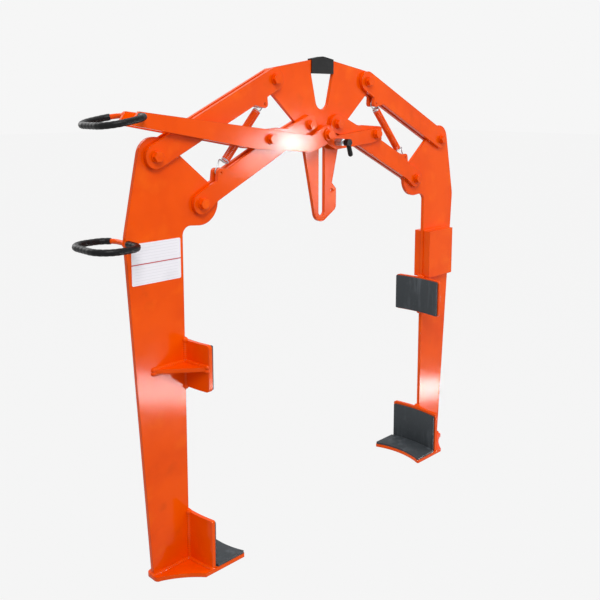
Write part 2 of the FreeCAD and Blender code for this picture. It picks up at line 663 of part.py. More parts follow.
SADDLE_BACK = "(saddle_radius + saddle_thickness)"
SADDLE_X = f"({ARM_EDGE_X} - {SADDLE_BACK})"
UPPER_SADDLE_Z = f"{SHELF_Z} + upper_saddle_rise - upper_saddle_height / 2"


def build_arm(side, name):
    """Arm plate with its jaw: saddles, gussets, shelf and rubber, and its two pivot bolts."""
    outline = [
        Corner(ARM_EDGE_X, SHELF_Z),
        Corner(f"{ARM_EDGE_X} + foot_width", SHELF_Z),
        Lobe(f"{OUTER_UPPER[0]} + hip_reach - hip_round", f"{OUTER_UPPER[1]} - hip_drop", "hip_round"),
        Lobe(*OUTER_UPPER, "arm_upper_lobe"),
        Lobe(*OUTER_LOWER, "arm_lower_lobe"),
        Lobe(f"{ARM_EDGE_X} - crotch_round", f"{OUTER_LOWER[1]} - crotch_drop", "crotch_round", hollow=True),
    ]
    pivots = [at_side(point, side) for point in (OUTER_UPPER, OUTER_LOWER)]
    holes = [(*point, BOLT_HOLE) for point in pivots]
    upright_plate(f"{name}_arm", [mirrored(outline, side)], holes, "plate_thickness", "plate_thickness / 2")
    fasteners(f"{name}_arm_pivot", pivots, LINK_FRONT)
    upper = upper_blank("saddle_half_width", UPPER_SADDLE_Z, f"{UPPER_SADDLE_Z} + upper_saddle_height")
    lower = lower_blank("saddle_half_width", SHELF_Z, f"{SHELF_Z} + lower_saddle_height")
    for height, outline in (("upper", upper), ("lower", lower)):
        label = f"{name}_{height}_saddle"
        piece(curved_plate(side, label, SADDLE_BACK, "saddle_thickness", outline), label)
    build_gussets(side, name)
    build_shelf(side, name)
    build_saddle_pads(side, name)


def upper_blank(half_width, bottom, top):
    """Outline of an upper saddle or its rubber as seen along X, with four rounded corners."""
    middle = f"({half_width} - upper_corner)"
    low = f"{bottom} + upper_corner"
    high = f"{top} - upper_corner"
    return [Lobe(f"{sign}{middle}", z, "upper_corner")
            for sign, z in (("-", low), ("", low), ("", high), ("-", high))]


def lower_blank(half_width, bottom, top):
    """Outline of a lower saddle or its rubber as seen along X, square on the shelf and rounded above."""
    middle = f"({half_width} - lower_corner)"
    high = f"{top} - lower_corner"
    return [Corner(f"-{half_width}", bottom), Corner(half_width, bottom),
            Lobe(middle, high, "lower_corner"), Lobe(f"-{middle}", high, "lower_corner")]


def curved_plate(side, label, back, thickness, outline):
    """Upright plate bent round the load: its blank, thrown along X through a ring about the load's axis."""
    x = at_side((SADDLE_X, ""), side)[0]
    bottom = f"{SHELF_Z} - saddle_thickness"
    height = "upper_saddle_rise + upper_saddle_height + 2 * saddle_thickness"
    wall = combine("Cut", solid("Cylinder", x, "0", bottom, Radius=back, Height=height),
                   solid("Cylinder", x, "0", bottom, Radius=f"{back} - {thickness}", Height=height))
    start = x if side > 0 else f"{x} - {back}"
    return combine("Common", wall, plate(f"{label}_blank", "YZ_Plane", [outline], [], back, start))


def build_gussets(side, name):
    """Level gussets in front of and behind the arm, from its faces to the back of the upper saddle."""
    back = f"({SADDLE_BACK} + bond_gap)"
    face = "plate_thickness / 2"
    root_x = f"{SADDLE_X} + sqrt({back}^2 - ({face})^2)"
    tip_x = f"{SADDLE_X} + sqrt({back}^2 - gusset_half_width^2)"
    along_x = f"{ARM_EDGE_X} + gusset_reach"
    front = [
        Corner(tip_x, "-gusset_half_width"),
        Corner(along_x, f"-{face}"),
        Corner(root_x, f"-{face}", arc=f"-{back}"),
    ]
    rear = [
        Corner(root_x, face),
        Corner(along_x, face),
        Corner(tip_x, "gusset_half_width", arc=f"-{back}"),
    ]
    base = f"{SHELF_Z} + upper_saddle_rise - gusset_thickness / 2"
    gussets = []
    for place_name, outline in (("front", front), ("rear", rear)):
        label = f"{name}_gusset_{place_name}"
        gussets.append(plate(label, "XY_Plane", [mirrored(outline, side)], [], "gusset_thickness", base))
    group(f"{name}_upper_gussets", gussets)


def build_shelf(side, name):
    """Foot shelf with a hollow inner edge and a tail under the arm, and the rubber that lies on it."""
    inner = f"{ARM_EDGE_X} - shelf_reach"
    shoulder = f"{ARM_EDGE_X} + shelf_shoulder"
    tail = f"{ARM_EDGE_X} + tail_length"
    outline = [
        Corner(f"{inner} + shelf_corner", "-shelf_half_width"),
        Corner(shoulder, "-shelf_half_width", arc="-shelf_flank"),
        Corner(f"{tail} - tail_corner", "-tail_half_width", arc="tail_corner"),
        Corner(tail, "-(tail_half_width - tail_corner)"),
        Corner(tail, "tail_half_width - tail_corner", arc="tail_corner"),
        Corner(f"{tail} - tail_corner", "tail_half_width", arc="-shelf_flank"),
        Corner(shoulder, "shelf_half_width"),
        Corner(f"{inner} + shelf_corner", "shelf_half_width", arc="shelf_corner"),
        Corner(inner, "shelf_half_width - shelf_corner", arc="-shelf_hollow"),
        Corner(inner, "-(shelf_half_width - shelf_corner)", arc="shelf_corner"),
    ]
    label = f"{name}_shelf"
    piece(plate(label, "XY_Plane", [mirrored(outline, side)], [], "shelf_thickness",
                f"{SHELF_Z} - shelf_thickness"), label)
    face = "(saddle_radius - pad_thickness - 2 * bond_gap)"
    half = "(shelf_half_width - shelf_pad_margin)"
    back = f"{SADDLE_X} + sqrt({face}^2 - {half}^2)"
    pad_inner = f"{inner} + shelf_pad_margin"
    pad = [
        Corner(f"{pad_inner} + shelf_corner", f"-{half}"),
        Corner(back, f"-{half}", arc=face),
        Corner(back, half),
        Corner(f"{pad_inner} + shelf_corner", half, arc="shelf_corner"),
        Corner(pad_inner, f"{half} - shelf_corner", arc="-(shelf_hollow + shelf_pad_margin)"),
        Corner(pad_inner, f"-({half} - shelf_corner)", arc="shelf_corner"),
    ]
    label = f"{name}_shelf_pad"
    piece(plate(label, "XY_Plane", [mirrored(pad, side)], [], "shelf_pad_thickness", SHELF_Z), label)


def build_saddle_pads(side, name):
    """Rubber on the hollow faces of both saddles."""
    face = "(saddle_radius - bond_gap)"
    upper = upper_blank("pad_half_width", f"{UPPER_SADDLE_Z} + upper_pad_margin",
                        f"{UPPER_SADDLE_Z} + upper_saddle_height - upper_pad_margin")
    lower = lower_blank("pad_half_width", f"{SHELF_Z} + bond_gap",
                        f"{SHELF_Z} + lower_saddle_height - lower_pad_margin")
    pads = [curved_plate(side, f"{name}_{height}_pad", face, "pad_thickness", outline)
            for height, outline in (("upper", upper), ("lower", lower))]
    group(f"{name}_saddle_pads", pads)


def build_counterweights():
    """Blocks in front of and behind the right arm that balance the lever and the handles."""
    left = f"{ARM_EDGE_X} + block_inset + block_round"
    right = f"{ARM_EDGE_X} + block_inset + block_width - block_round"
    top = f"{OUTER_UPPER[1]} - block_drop - block_round"
    bottom = f"{OUTER_UPPER[1]} - block_drop - block_height + block_round"
    corners = ((left, bottom), (right, bottom), (right, top), (left, top))
    outline = [Lobe(x, z, "block_round") for x, z in corners]
    rears = (("front", "-plate_thickness / 2"), ("rear", "plate_thickness / 2 + block_thickness"))
    blocks = []
    for place_name, rear in rears:
        blocks.append(plate(f"block_{place_name}", "XZ_Plane", [outline], [], "block_thickness", rear))
    group("right_counterweights", blocks)


ALONG_X = FreeCAD.Rotation(FreeCAD.Vector(0, 1, 0), 90)


def loop_bars(radius, half_depth):
    """Bars of a level loop handle about its own stubs, from the rear plate face round to the front one."""
    inner = "(loop_half_width - loop_inner_bend)"
    outer = "(loop_half_width - loop_outer_bend)"
    far = "-(loop_length - loop_outer_bend)"
    straight = "loop_length - loop_outer_bend - loop_inner_bend"

    def bend(x, y, size, start):
        turn = FreeCAD.Rotation(FreeCAD.Vector(0, 0, 1), start)
        return solid("Torus", x, y, "0", turn, Radius1=size, Radius2=radius, Angle3="90")

    def leg(y):
        return solid("Cylinder", far, y, "0", ALONG_X, Radius=radius, Height=straight)
    return [
        rod("0", inner, "0", radius, f"{inner} - {half_depth}"),
        bend("-loop_inner_bend", inner, "loop_inner_bend", 0),
        leg("loop_half_width"),
        bend(far, outer, "loop_outer_bend", 90),
        rod("-loop_length", outer, "0", radius, f"2 * {outer}"),
        bend(far, f"-{outer}", "loop_outer_bend", 180),
        leg("-loop_half_width"),
        bend("-loop_inner_bend", f"-{inner}", "loop_inner_bend", 270),
        rod("0", f"-{half_depth}", "0", radius, f"{inner} - {half_depth}"),
    ]


def build_loop_handle(label, x, z, half_depth, tilt):
    """Loop of round bar, its stubs butted on two plate faces, with the grip drawn over it from the front."""
    bar = fused(loop_bars("loop_bar / 2", half_depth))
    skin = fused(loop_bars("grip_diameter / 2", f"({half_depth} + side_play)")[2:])
    grip = combine("Cut", skin, fused(loop_bars("loop_bar / 2 + bond_gap", half_depth)))
    for item, name in ((bar, label), (grip, f"{label}_grip")):
        place(item, x, "0", z, FreeCAD.Rotation(FreeCAD.Vector(0, -1, 0), number(tilt)))
        bind(item, "Placement.Rotation.Angle", tilt)
        piece(item, name)


def build_lever():
    """Hand lever, a front and a rear plate from the loop handle over the lower link's lug to the slider."""
    pivot_x, pivot_z = at_side(LUG, -1)
    end_x = f"{pivot_x} + {TOGGLE_LENGTH}"
    boss = (f"{pivot_x} + {TOGGLE_LENGTH} * cos(toggle_tilt)",
            f"{pivot_z} + {TOGGLE_LENGTH} * sin(toggle_tilt)")
    outline = [
        Lobe(*boss, "lever_boss"),
        Corner(f"{end_x} - lever_neck_back", f"{pivot_z} + lever_neck_rise"),
        Corner(f"{pivot_x} - lever_tip_along", f"{pivot_z} + lever_tip_rise"),
        Corner(f"{pivot_x} - lever_end_along", f"{pivot_z} + lever_end_rise"),
        Corner(f"{pivot_x} - lever_belly_along", f"{pivot_z} - lever_belly_fall"),
        Lobe(f"{end_x} - lever_chin_back", f"{pivot_z} - lever_chin_fall", "lever_chin_round"),
    ]
    holes = [(pivot_x, pivot_z, BOLT_HOLE), (*boss, "slider_eye / 2")]
    plate_pair("lever", outline, holes, "toggle_thickness", LEVER_BACK)
    build_loop_handle("lever_handle", f"{pivot_x} - lever_loop_along", f"{pivot_z} + lever_loop_rise",
                      LEVER_FRONT, "lever_loop_tilt")


def build_lock_link():
    """Lock link, the toggle's other half, whose front plate carries the sleeve of the lock plunger."""
    pivot_x, pivot_z = LUG
    boss = (f"{pivot_x} - {TOGGLE_LENGTH} * cos(toggle_tilt)",
            f"{pivot_z} + {TOGGLE_LENGTH} * sin(toggle_tilt)")
    outline = [
        Lobe(*PLUNGER, "plunger_lobe"),
        Corner(f"{pivot_x} - lock_belly_along", f"{pivot_z} - lock_belly_fall"),
        Corner(f"{pivot_x} + lock_end_reach", f"{pivot_z} - lock_end_under"),
        Corner(f"{pivot_x} + lock_end_reach", f"{pivot_z} + lock_end_over"),
        Corner(f"{pivot_x} - {TOGGLE_LENGTH} + lock_neck_back", pivot_z),
        Lobe(*boss, "lock_boss"),
    ]
    holes = [(pivot_x, pivot_z, BOLT_HOLE), (*boss, "slider_eye / 2")]
    sleeve_hole = (*PLUNGER, "sleeve_diameter / 2 + bond_gap")
    upright_plate("lock_link_front", [outline], [*holes, sleeve_hole], "toggle_thickness", f"-{LOCK_BACK}")
    upright_plate("lock_link_rear", [outline], holes, "toggle_thickness", LOCK_FRONT)


def build_plunger():
    """Lock plunger, drawn back: a sleeve in the lock link, the pin and its cranked handle."""
    x, z = PLUNGER
    sleeve_rear = f"({LINK_BACK} + plunger_gap)"
    bore = "plunger_diameter / 2 + bolt_fit"
    piece(ring(x, f"-{sleeve_rear}", z, "sleeve_diameter / 2", bore, f"sleeve_front - {sleeve_rear}"),
          "plunger_sleeve")
    hub_rear = "(sleeve_front + plunger_stroke + plunger_gap)"
    pin_rear = f"({sleeve_rear} + plunger_gap)"
    depth = "(knob_length / 2)"
    piece(rod(x, f"-{pin_rear}", z, "plunger_diameter / 2", f"{hub_rear} + {depth} - {pin_rear}"),
          "plunger_pin")
    hub = rod(x, f"-{hub_rear}", z, "knob_diameter / 2", "knob_length")
    y = f"-({hub_rear} + knob_length - knob_tip_round)"
    lean = FreeCAD.Rotation(FreeCAD.Vector(0, 1, 0), 180 - number("knob_lean"))
    arm = solid("Cone", x, y, z, lean, Radius1="knob_arm_round", Radius2="knob_tip_round",
                Height="knob_arm_length")
    bind(arm, "Placement.Rotation.Angle", "180 - knob_lean")
    ball = solid("Sphere", f"{x} + knob_arm_length * sin(knob_lean)", y,
                 f"{z} - knob_arm_length * cos(knob_lean)", Radius="knob_tip_round")
    bore = rod(x, f"-{hub_rear}", z, "plunger_diameter / 2 + bond_gap", f"{depth} + bond_gap")
    piece(combine("Cut", fused([hub, arm, ball]), bore), "plunger_handle")


def build_slider():
    """Bolt that joins lever and lock link and runs in the slot on a bush, with spacers to the plates."""
    length = "link_thickness"
    spacers = [ring("0", rear, SLIDER_Z, "slider_washer / 2", BOLT_HOLE, length)
               for rear in (f"-{LINK_BACK}", LINK_FRONT)]
    fasteners("slider", [("0", SLIDER_Z)], LEVER_FRONT, "slider_washer", spacers)
    piece(ring("0", LINK_BACK, SLIDER_Z, "slot_width / 2 - bush_play", BOLT_HOLE, f"2 * {LINK_BACK}"),
          "slider_bush")


def arc_edge(start, corner, end):
    """Arc from start to end whose tangents meet at the corner point."""
    chord = (start + end) * 0.5
    out = corner - chord
    half = (end - start).Length / 2
    rise = half * math.tan(math.atan2(out.Length, half) / 2)
    return Part.Arc(start, chord + out.normalize() * rise, end)


def biarc(start, start_heading, end, end_heading):
    """Two arcs that join two points with the given unit headings."""
    reach = end - start
    bend = start_heading + end_heading
    spread = 2 * (1 - start_heading.dot(end_heading))
    along = reach.dot(bend)
    arm = (math.sqrt(along * along + spread * reach.dot(reach)) - along) / spread
    first = start + start_heading * arm
    last = end - end_heading * arm
    joint = (first + last) * 0.5
    return [arc_edge(start, first, joint), arc_edge(joint, last, end)]


def hook_arcs(coil_end, heading, across, sideways, outward, reach):
    """Arcs from the end of a coil into a loop round a pin, the loop's centre lying reach outside the coil."""
    radius = number("coil_radius")
    centre = coil_end - across * radius + outward * reach
    entry = centre - sideways * radius
    arcs = biarc(coil_end, heading, entry, outward)
    stations = (-sideways, outward, sideways, -outward)
    for first, last in zip(stations, stations[1:]):
        middle = (first + last).normalize()
        arcs.append(Part.Arc(centre + first * radius, centre + middle * radius, centre + last * radius))
    return arcs


def wire_solid(arcs):
    """Sweep the spring's round wire along a chain of arcs."""
    path = Part.Wire([arc.toShape() for arc in arcs])
    start = arcs[0].StartPoint
    heading = arcs[0].tangent(arcs[0].FirstParameter)[0]
    sweep = Part.BRepOffsetAPI.MakePipeShell(path)
    sweep.add(Part.Wire(Part.makeCircle(number("coil_wire") / 2, start, heading)))
    sweep.build()
    sweep.makeSolid()
    return sweep.shape(), path.Length


def least_gap(arcs):
    """Least clear distance between parts of one wire that aren't neighbours along it."""
    samples = 6
    points = []
    for arc in arcs:
        span = arc.LastParameter - arc.FirstParameter
        points += [arc.value(arc.FirstParameter + span * step / samples) for step in range(samples)]
    apart = 2 * samples
    nearest = min(math.dist(points[i], points[j])
                  for i in range(len(points)) for j in range(i + apart, len(points)))
    return nearest - number("coil_wire")


def wound_piece(label, arcs):
    """Finished piece of bent wire, with its volume and its gap to itself printed."""
    shape, length = wire_solid(arcs)
    section = math.pi * (number("coil_wire") / 2) ** 2
    print(f"{label}: volume {shape.Volume / (section * length):.4f} of section times length,"
          f" least gap {least_gap(arcs):.2f} mm")
    item = DOC.addObject("Part::Feature", label)
    item.Shape = shape
    piece(item, label)


def build_spring(side, name):
    """Tension spring between an upper and a lower link: coil with its upper hook, and the lower hook."""
    radius = number("coil_radius")
    top, bottom = (FreeCAD.Vector(side * number(ear[0]), 0, number(ear[1])) for ear in (UPPER_EAR, LOWER_EAR))
    outward = (top - bottom).normalize()
    across = FreeCAD.Vector(0, -side, 0)
    sideways = outward.cross(across)
    room = "coil_radius - coil_wire / 2 - spring_pin / 2"
    coil_top = top - outward * number(f"{room} - hook_seat + upper_hook_reach")
    coil_bottom = bottom + outward * number(f"{room} - lower_hook_seat + lower_hook_reach + hook_seat")
    turns = round(number("coil_turns"))
    rise = (coil_top - coil_bottom).Length / turns

    def station(turn):
        angle = 2 * math.pi * turn
        around = (across * math.cos(angle) - sideways * math.sin(angle)) * radius
        turning = (across * math.sin(angle) + sideways * math.cos(angle)) * (-2 * math.pi * radius)
        heading = turning + outward * rise
        return coil_bottom + outward * (rise * turn) + around, heading.normalize()
    arcs = []
    for half_turn in range(2 * turns):
        arcs += biarc(*station(half_turn / 2), *station((half_turn + 1) / 2))
    arcs += hook_arcs(*station(turns), across, sideways, outward, number("upper_hook_reach"))
    wound_piece(f"{name}_spring_coil", arcs)
    start, heading = station(0)
    start -= outward * number("hook_seat")
    reach = number("lower_hook_reach")
    wound_piece(f"{name}_spring_hook", hook_arcs(start, -heading, across, -sideways, -outward, reach))


def check_model():
    """Stop if any object failed, or a piece is empty, invalid or not solid."""
    for item in DOC.Objects:
        if "Invalid" in item.State or "Error" in item.State:
            raise RuntimeError(f"{item.Label} failed: {item.State}")
    for item in PIECES:
        if item.Shape.isNull() or not item.Shape.isValid() or not item.Shape.Solids:
            raise RuntimeError(f"{item.Label} has no valid solid")


def main():
    """Build every piece, check the model and write one file for each piece."""
    fill_sheet()
    build_hook_plate()
    build_eye_sleeve()
    build_upper_links()
    build_lower_links()
    for side, name in ((-1, "left"), (1, "right")):
        build_arm(side, name)
        build_spring(side, name)
    build_counterweights()
    build_loop_handle("arm_handle", f"-({OUTER_UPPER[0]} + hip_reach - arm_loop_inset)",
                      f"{OUTER_UPPER[1]} - arm_loop_drop", "(plate_thickness / 2)", "0")
    build_lever()
    build_lock_link()
    build_plunger()
    build_slider()
    DOC.recompute()
    check_model()
    os.makedirs("parts", exist_ok=True)
    for item in PIECES:
        item.Shape.exportStep(f"parts/{item.Label}.step")
    print(f"{len(PIECES)} pieces, {sum(len(item.Shape.Solids) for item in PIECES)} solids")


main()
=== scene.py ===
"""Looks of the lifting tongs: enamel, rubber, springs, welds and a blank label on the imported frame."""
import json
import logging
import math
from collections.abc import Callable, Iterator
from contextlib import contextmanager
from dataclasses import dataclass
from enum import Enum

import bmesh
import bpy
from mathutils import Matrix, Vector


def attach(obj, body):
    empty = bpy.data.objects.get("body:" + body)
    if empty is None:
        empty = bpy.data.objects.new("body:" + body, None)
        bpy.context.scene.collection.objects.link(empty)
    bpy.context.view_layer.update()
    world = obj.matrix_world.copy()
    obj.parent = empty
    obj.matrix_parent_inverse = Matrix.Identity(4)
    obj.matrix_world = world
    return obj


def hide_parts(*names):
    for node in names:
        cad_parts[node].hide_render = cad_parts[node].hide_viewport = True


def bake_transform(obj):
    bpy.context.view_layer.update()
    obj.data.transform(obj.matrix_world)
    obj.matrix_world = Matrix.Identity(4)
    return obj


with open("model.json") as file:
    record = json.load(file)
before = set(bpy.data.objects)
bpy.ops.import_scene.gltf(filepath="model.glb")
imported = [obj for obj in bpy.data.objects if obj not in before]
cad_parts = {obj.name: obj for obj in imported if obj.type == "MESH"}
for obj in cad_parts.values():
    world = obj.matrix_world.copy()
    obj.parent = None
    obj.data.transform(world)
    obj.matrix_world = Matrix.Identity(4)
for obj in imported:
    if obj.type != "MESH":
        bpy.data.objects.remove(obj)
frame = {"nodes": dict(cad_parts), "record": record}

LOG = logging.getLogger("tongs")
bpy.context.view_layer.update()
MM = 0.001
# Slack in metres when an edge is found by its place
NEAR = 1e-5
# Middle between the two stubs of each loop handle, in millimetres
ARM_STUB = (-513.596, 0.0, -319.354)
LEVER_STUB = (-493.012, 0.0, -86.251)

# Short names of the types used most
Point = tuple[float, float, float]
Span = tuple[float, float]
Tree = bpy.types.NodeTree
Node = bpy.types.Node
Material = bpy.types.Material
Piece = bpy.types.Object


class Side(Enum):
    """Left and right half of the tongs, as the sign of X."""

    LEFT = -1
    RIGHT = 1

    @property
    def word(self) -> str:
        """Name that the CAD nodes of this side start with."""
        return self.name.lower()

    def at(self, x: float, y: float, z: float) -> Vector:
        """Point in metres of a place given in millimetres for the right side."""
        return Vector((self.value * x, y, z)) * MM


class Cut(Enum):
    """What a cutting cylinder does to a piece."""

    TAKE_AWAY = "DIFFERENCE"
    KEEP_INSIDE = "INTERSECT"


# Colour and node helpers

def linear(code: str) -> tuple[float, float, float, float]:
    """Linear colour of an sRGB hex value.

    Args:
        code: Six hex digits with a leading hash.

    Returns:
        Red, green, blue and an alpha of one.
    """
    parts = [int(code[start:start + 2], 16) / 255 for start in (1, 3, 5)]
    red, green, blue = [part / 12.92 if part <= 0.04045 else ((part + 0.055) / 1.055) ** 2.4
                        for part in parts]
    return red, green, blue, 1.0


def add_node(tree: Tree, kind: str, settings: dict | None = None, links: dict | None = None) -> Node:
    """Add a node with its settings and its links.

    Args:
        tree: Tree that gets the node.
        kind: Blender's name of the shader node type, without its prefix.
        settings: Values by socket name or number, or by property name.
        links: Nodes, for their first output, or output sockets, by the input that they feed.

    Returns:
        The new node.
    """
    node = tree.nodes.new(f"ShaderNode{kind}")
    for key, value in (settings or {}).items():
        if isinstance(key, int) or key in node.inputs:
            node.inputs[key].default_value = value
        else:
            setattr(node, key, value)
    for key, source in (links or {}).items():
        tree.links.new(source.outputs[0] if isinstance(source, Node) else source, node.inputs[key])
    return node


def clean_tree(owner: Material | bpy.types.World) -> Tree:
    """Empty node tree of a material or a world.

    Args:
        owner: What the tree belongs to.

    Returns:
        The tree, with no nodes.
    """
    owner.use_nodes = True
    owner.node_tree.nodes.clear()
    return owner.node_tree


def end_in_shader(tree: Tree, settings: dict, links: dict) -> None:
    """End a material's tree in a principled shader.

    Args:
        tree: Tree of the material.
        settings: Shader values that are the same all over the surface.
        links: What feeds the other values.
    """
    shader = add_node(tree, "BsdfPrincipled", settings, links)
    add_node(tree, "OutputMaterial", links={"Surface": shader})


def per_metre(size_mm: float) -> float:
    """Texture scale whose pattern repeats about every given number of millimetres."""
    return 1.0 / (size_mm * MM)


# Finishes

@dataclass(frozen=True)
class Blotches:
    """Cloudy pattern on Object coordinates that serves as a mask.

    A blotch has a size in millimetres, and detail says how finely it breaks up. The band of the noise
    from low to high becomes a mask from start to end. The finishes give these values in this order.
    """

    size_mm: float
    detail: float = 3.0
    low: float = 0.0
    high: float = 1.0
    start: float = 0.0
    end: float = 1.0

    def lay(self, tree: Tree) -> Node:
        """Add the pattern to a material.

        Args:
            tree: Tree that gets the nodes.

        Returns:
            Node whose first output is the mask.
        """
        place = add_node(tree, "TexCoord")
        cloud = add_node(tree, "TexNoise",
                         {"Scale": per_metre(self.size_mm), "Detail": self.detail, "Roughness": 0.55},
                         {"Vector": place.outputs["Object"]})
        return add_node(tree, "MapRange", {"From Min": self.low, "From Max": self.high,
                                           "To Min": self.start, "To Max": self.end}, {"Value": cloud})


@dataclass(frozen=True)
class Enamel:
    """Orange air-dried enamel, sprayed on plates, bolts and springs after assembly.

    It gives the eye an even, wet-looking orange with slight clouds, soft ripples in its reflections and
    brown chips along the cut edges.
    """

    name: str
    colour: str = "#F45500"
    thin: str = "#EA4C00"
    thick: str = "#FA6708"
    chip: str = "#8E3A1C"
    grime: str = "#B03C0A"
    clouds: Blotches = Blotches(130.0, 3.0, 0.35, 0.6)
    heavy: Blotches = Blotches(58.5, 3.0, 0.56, 0.75, 0.0, 0.55)
    spots: Blotches = Blotches(38.0, 6.0, 0.56, 0.74, 0.0, 0.22)
    smears: Blotches = Blotches(300.0, 3.0, 0.42, 0.62)
    chips: Blotches = Blotches(16.0, 8.0, 0.5, 0.68, 0.35, 0.8)
    gloss: Blotches = Blotches(24.0, 5.0, 0.3, 0.75, 0.1, 0.15)
    peel: Blotches = Blotches(2.2, 1.0)
    peel_depth_mm: float = 0.4
    waves: Blotches = Blotches(55.0, 1.0)
    wave_depth_mm: float = 1.0
    edge_mm: float = 1.8

    def material(self) -> Material:
        """Paint with cloudy film thickness, orange peel, rounded edges and small chips along them.

        Returns:
            The material.
        """
        material = bpy.data.materials.new(self.name)
        tree = clean_tree(material)
        # Sprayed film: a little redder where thin, a little lighter where heavy
        film = add_node(tree, "MixRGB", {"Color1": linear(self.thin), "Color2": linear(self.colour)},
                        {"Fac": self.clouds.lay(tree)})
        # Shop grime in faint spots, only where it was smeared
        dirt = add_node(tree, "Math", {"operation": "MULTIPLY"},
                        {0: self.spots.lay(tree), 1: self.smears.lay(tree)})
        # Edges where the plate's cut shows through chipped paint
        rounded = add_node(tree, "Bevel", {"samples": 4, "Radius": self.edge_mm * MM})
        facing = add_node(tree, "NewGeometry")
        bend = add_node(tree, "VectorMath", {"operation": "DOT_PRODUCT"},
                        {0: rounded, 1: facing.outputs["Normal"]})
        edge = add_node(tree, "MapRange", {"From Min": 0.985, "From Max": 0.86},
                        {"Value": bend.outputs["Value"]})
        wear = add_node(tree, "Math", {"operation": "MULTIPLY"}, {0: edge, 1: self.chips.lay(tree)})
        for share, over in ((self.heavy.lay(tree), self.thick), (dirt, self.grime), (wear, self.chip)):
            film = add_node(tree, "MixRGB", {"Color2": linear(over)}, {"Fac": share, "Color1": film})
        # Orange peel on top of the long waves of rolled plate
        peel = add_node(tree, "Bump", {"Strength": 0.05, "Distance": self.peel_depth_mm * MM},
                        {"Height": self.peel.lay(tree), "Normal": rounded})
        wave = add_node(tree, "Bump", {"Strength": 0.06, "Distance": self.wave_depth_mm * MM},
                        {"Height": self.waves.lay(tree), "Normal": peel})
        end_in_shader(tree, {"IOR": 1.5, "Specular IOR Level": 0.12},
                      {"Base Color": film, "Roughness": self.gloss.lay(tree), "Normal": wave})
        return material


@dataclass(frozen=True)
class SheetRubber:
    """Calendered SBR sheet glued to the jaws.

    It gives the eye a dull, dark, slightly blue face that loads have scuffed grey. The cloth print of the
    calender is too fine to show, so it is drawn coarser, at 1.6 mm.
    """

    name: str
    colour: str = "#2F3438"
    scuff: str = "#565B60"
    streak_mm: float = 14.0
    streak_squeeze: float = 0.12
    patches: Blotches = Blotches(70.0, 3.0, 0.4, 0.62)
    specks: Blotches = Blotches(3.0, 4.0, 0.6, 0.72, 0.0, 0.35)
    cloth: Blotches = Blotches(1.6, 2.0)
    cloth_depth_mm: float = 0.3

    def material(self) -> Material:
        """Rubber with the faint cloth print of its calender and upright scuffs.

        Returns:
            The material.
        """
        material = bpy.data.materials.new(self.name)
        tree = clean_tree(material)
        place = add_node(tree, "TexCoord")
        # Scuffs are drawn out along Z, the way a load slides in
        drawn = add_node(tree, "Mapping", {"Scale": (1.0, 1.0, self.streak_squeeze)},
                         {"Vector": place.outputs["Object"]})
        streak = add_node(tree, "TexNoise", {"Scale": per_metre(self.streak_mm), "Detail": 5.0},
                          {"Vector": drawn})
        drag = add_node(tree, "MapRange", {"From Min": 0.48, "From Max": 0.72, "To Max": 0.8},
                        {"Value": streak})
        rubbed = add_node(tree, "Math", {"operation": "MULTIPLY"}, {0: drag, 1: self.patches.lay(tree)})
        face = add_node(tree, "MixRGB", {"Color1": linear(self.colour), "Color2": linear(self.scuff)},
                        {"Fac": rubbed})
        face = add_node(tree, "MixRGB", {"Color2": linear(self.scuff)},
                        {"Fac": self.specks.lay(tree), "Color1": face})
        gloss = add_node(tree, "MapRange", {"To Min": 0.66, "To Max": 0.8}, {"Value": rubbed})
        grain = add_node(tree, "Bump", {"Strength": 0.25, "Distance": self.cloth_depth_mm * MM},
                         {"Height": self.cloth.lay(tree)})
        end_in_shader(tree, {"IOR": 1.52, "Specular IOR Level": 0.36},
                      {"Base Color": face, "Roughness": gloss, "Normal": grain})
        return material


@dataclass(frozen=True)
class Moulded:
    """Black moulded polymer: dipped PVC grips, polyamide handle, hose sleeve.

    It gives the eye a near-black skin with a fine grain and dull, paler patches where hands rub it.
    """

    name: str
    colour: str
    worn: str
    gloss: Blotches
    grain: Blotches
    grain_strength: float
    grain_depth_mm: float = 0.25
    patches: Blotches = Blotches(22.0, 5.0, 0.52, 0.74, 0.0, 0.6)

    def material(self) -> Material:
        """Near-black polymer with a grain and paler rubbed patches.

        Returns:
            The material.
        """
        material = bpy.data.materials.new(self.name)
        tree = clean_tree(material)
        skin = add_node(tree, "MixRGB", {"Color1": linear(self.colour), "Color2": linear(self.worn)},
                        {"Fac": self.patches.lay(tree)})
        depth = self.grain_depth_mm * MM
        grain = add_node(tree, "Bump", {"Strength": self.grain_strength, "Distance": depth},
                         {"Height": self.grain.lay(tree)})
        end_in_shader(tree, {"IOR": 1.5, "Specular IOR Level": 0.18},
                      {"Base Color": skin, "Roughness": self.gloss.lay(tree), "Normal": grain})
        return material


